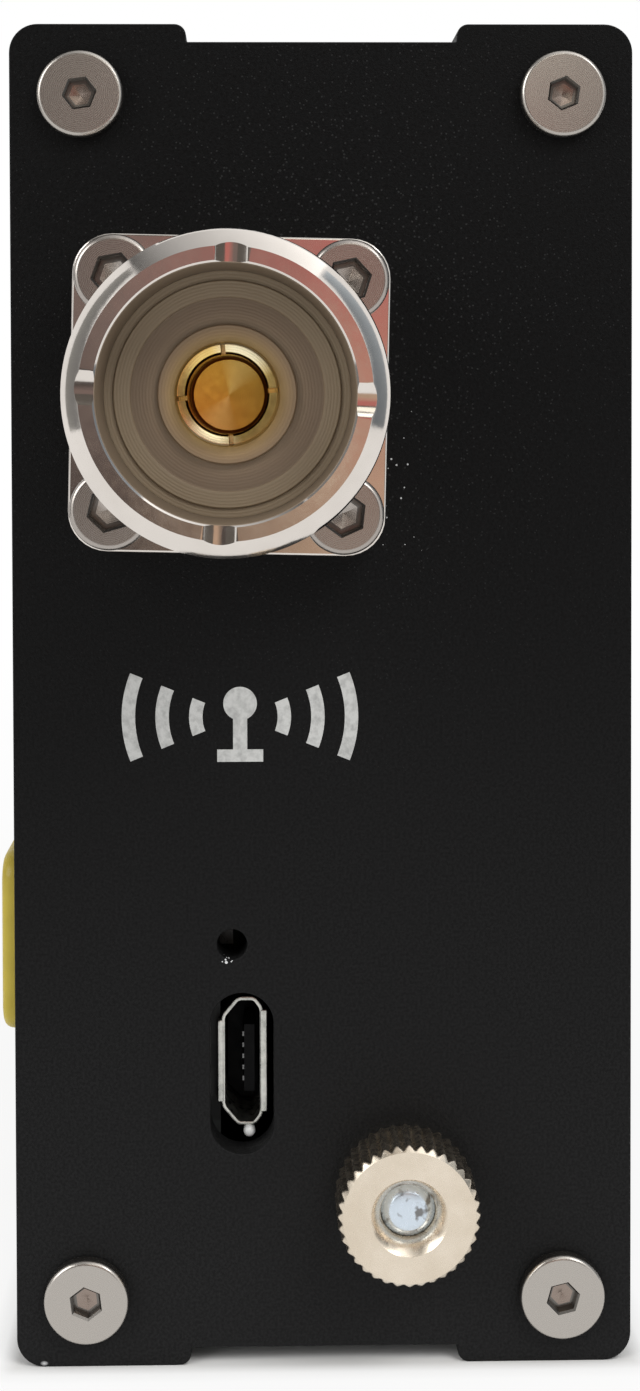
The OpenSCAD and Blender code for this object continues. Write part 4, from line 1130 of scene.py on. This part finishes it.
deselect()
bpy.ops.mesh.primitive_plane_add(size=6, location=(0, 0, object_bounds()[0].z))
floor = bpy.context.object
floor.name = "studio_floor"
pale = new_finish("studio_floor_pale", (0.86, 0.855, 0.84), 0.8)
floor.data.materials.append(pale)
fade_reach = 0.25
away = vector_maths(pale, "ABSOLUTE", places_on(pale, (0, case_y, 0), (1, 1, 0)))
past_case = vector_maths(pale, "SUBTRACT", away, (face_x, plate_high.y - case_y, 0))
gap = vector_maths(pale, "LENGTH", vector_maths(pale, "MAXIMUM", past_case, (0, 0, 0)))
fade = ramp_of(pale, maths(pale, "MULTIPLY", gap, 1 / fade_reach), (
    (0.0, (1.0,) * 3), (0.002, (0.4,) * 3), (0.008, (0.12,) * 3), (1.0, (0.0,) * 3),
))
far_white = add_node(pale, "ShaderNodeEmission", Strength=1.0)
floor_mix = add_node(pale, "ShaderNodeMixShader")
for socket, output in enumerate((fade, far_white.outputs[0], surface(pale).outputs[0])):
    wire(pale, output, floor_mix, socket)
wire(pale, floor_mix.outputs[0], pale.node_tree.nodes["Material Output"], "Surface")


def card(name, size, place, turn, colours, steep=1.0):
    """A card that only reflections see, shaded from one edge to the other, steeper in its middle."""
    deselect()
    bpy.ops.mesh.primitive_plane_add(size=1, location=place, rotation=turn)
    sheet = bpy.context.object
    sheet.name = name
    sheet.scale = (*size, 1)
    glow = bpy.data.materials.new(name + "_tone")
    glow.use_nodes = True
    lit = add_node(glow, "ShaderNodeEmission", Strength=1.0)
    source = add_node(glow, "ShaderNodeTexCoord")
    spread = add_node(glow, "ShaderNodeMapRange", data_type="FLOAT_VECTOR")
    wire(glow, source.outputs["UV"], spread, 6)
    wire(glow, (0.5 - 0.5 / steep,) * 3, spread, 7)
    wire(glow, (0.5 + 0.5 / steep,) * 3, spread, 8)
    apart = add_node(glow, "ShaderNodeSeparateXYZ")
    wire(glow, spread.outputs["Vector"], apart, 0)
    rows = [mixed(glow, apart.outputs[0], low, high) for low, high in colours]
    wire(glow, mixed(glow, apart.outputs[1], *rows), lit, "Color")
    wire(glow, lit.outputs[0], glow.node_tree.nodes["Material Output"], "Surface")
    sheet.data.materials.append(glow)
    for rays in ("camera", "diffuse", "transmission", "shadow"):
        setattr(sheet, "visible_" + rays, False)


facing_plate = (math.pi / 2, 0, math.pi / 2)
facing_side = (math.pi / 2, 0, 0)
card("card_lens", (0.026, 0.026), (0.26, -0.003, 0.055), facing_plate, (
    ((0.7, 0.62, 0.5), (0.85, 0.76, 0.6)),
    ((0.45, 0.38, 0.3), (0.55, 0.46, 0.36)),
))
card("card_near", (0.1, 0.1), (0.265, -0.003, 0.055), facing_plate, (
    ((0.09, 0.075, 0.07), (0.6, 0.42, 0.3)),
    ((0.24, 0.18, 0.165), (0.6, 0.2, 0.18)),
), 2.4)
card("card_front", (0.3, 0.32), (0.28, 0.0, 0.17), facing_plate, (
    ((0.135, 0.122, 0.11), (0.13, 0.115, 0.102)),
    ((0.13, 0.117, 0.104), (0.125, 0.112, 0.1)),
))
glint_rows = (((1.5, 1.45, 1.3),) * 2,) * 2
card("card_glint", (0.06, 0.045), (0.25, 0.026, 0.136), facing_plate, glint_rows)
high_rows = (((2.2, 2.15, 2.0),) * 2,) * 2
card("card_high", (0.08, 0.06), (0.279, 0.03, 0.215), facing_plate, high_rows)
card("card_left", (0.085, 0.3), (0.042, -0.2, 0.16), facing_side, (
    ((0.3, 0.3, 0.29), (0.22, 0.22, 0.22)),
    ((0.34, 0.34, 0.33), (0.22, 0.22, 0.22)),
))
card("card_right", (0.1, 0.3), (0.04, 0.2, 0.16), facing_side, (
    ((0.22, 0.24, 0.26), (0.16, 0.18, 0.2)),
    ((0.6, 0.68, 0.75), (0.3, 0.34, 0.38)),
))
card("card_top", (0.5, 0.4), (0.12, 0.0, 0.32), (0, 0, 0), (
    ((0.12, 0.12, 0.12), (0.1, 0.1, 0.1)),
    ((1.8, 1.8, 1.8), (1.2, 1.2, 1.2)),
))


def lamp(name, place, aim, size, power):
    """A square area lamp that looks at a point."""
    light = bpy.data.lights.new(name, "AREA")
    light.size = size
    light.energy = power
    piece = bpy.data.objects.new(name, light)
    bpy.context.collection.objects.link(piece)
    piece.location = place
    piece.rotation_euler = (Vector(aim) - Vector(place)).to_track_quat("-Z", "Y").to_euler()


lamp_aim = (0.02, 0, 0.04)
lamp("key_lamp", (0.45, 0.3, 0.55), lamp_aim, 0.35, 2.4)
lamp("fill_lamp", (0.4, -0.5, 0.35), lamp_aim, 0.4, 1.8)

world = bpy.data.worlds.new("studio_world")
scene.world = world
world.use_nodes = True
dim = world.node_tree.nodes["Background"]
wire(world, (1, 1, 1, 1), dim, "Color")
wire(world, 0.5, dim, "Strength")
white = add_node(world, "ShaderNodeBackground", Color=(1, 1, 1, 1), Strength=1.0)
rays = add_node(world, "ShaderNodeLightPath").outputs
seen = maths(world, "MAXIMUM", rays["Is Camera Ray"], rays["Is Glossy Ray"])
seen = maths(world, "MAXIMUM", seen, rays["Is Transmission Ray"])
sky_mix = add_node(world, "ShaderNodeMixShader")
for socket, output in enumerate((seen, dim.outputs[0], white.outputs[0])):
    wire(world, output, sky_mix, socket)
wire(world, sky_mix.outputs[0], world.node_tree.nodes["World Output"], "Surface")

camera_place = Vector((142.3, -1.82, 54.74)) * mm
yaw = math.radians(1.12)
pitch = math.radians(-1.425)
roll = math.radians(-0.162)
forward = Vector((-math.cos(pitch) * math.cos(yaw), math.cos(pitch) * math.sin(yaw), math.sin(pitch)))
right = forward.cross(Vector((0, 0, 1))).normalized()
up = right.cross(forward)
tilted_right = math.cos(roll) * right + math.sin(roll) * up
tilted_up = math.cos(roll) * up - math.sin(roll) * right
eye = bpy.data.cameras.new("photo_camera")
eye.lens = 50.7
eye.sensor_width = 36
eye.shift_x = 0.02
eye.shift_y = -0.175
eye.clip_start = 0.01
camera = bpy.data.objects.new("photo_camera", eye)
bpy.context.collection.objects.link(camera)
turn = Matrix((tilted_right, tilted_up, -forward)).transposed().to_4x4()
camera.matrix_world = Matrix.Translation(camera_place) @ turn
scene.camera = camera
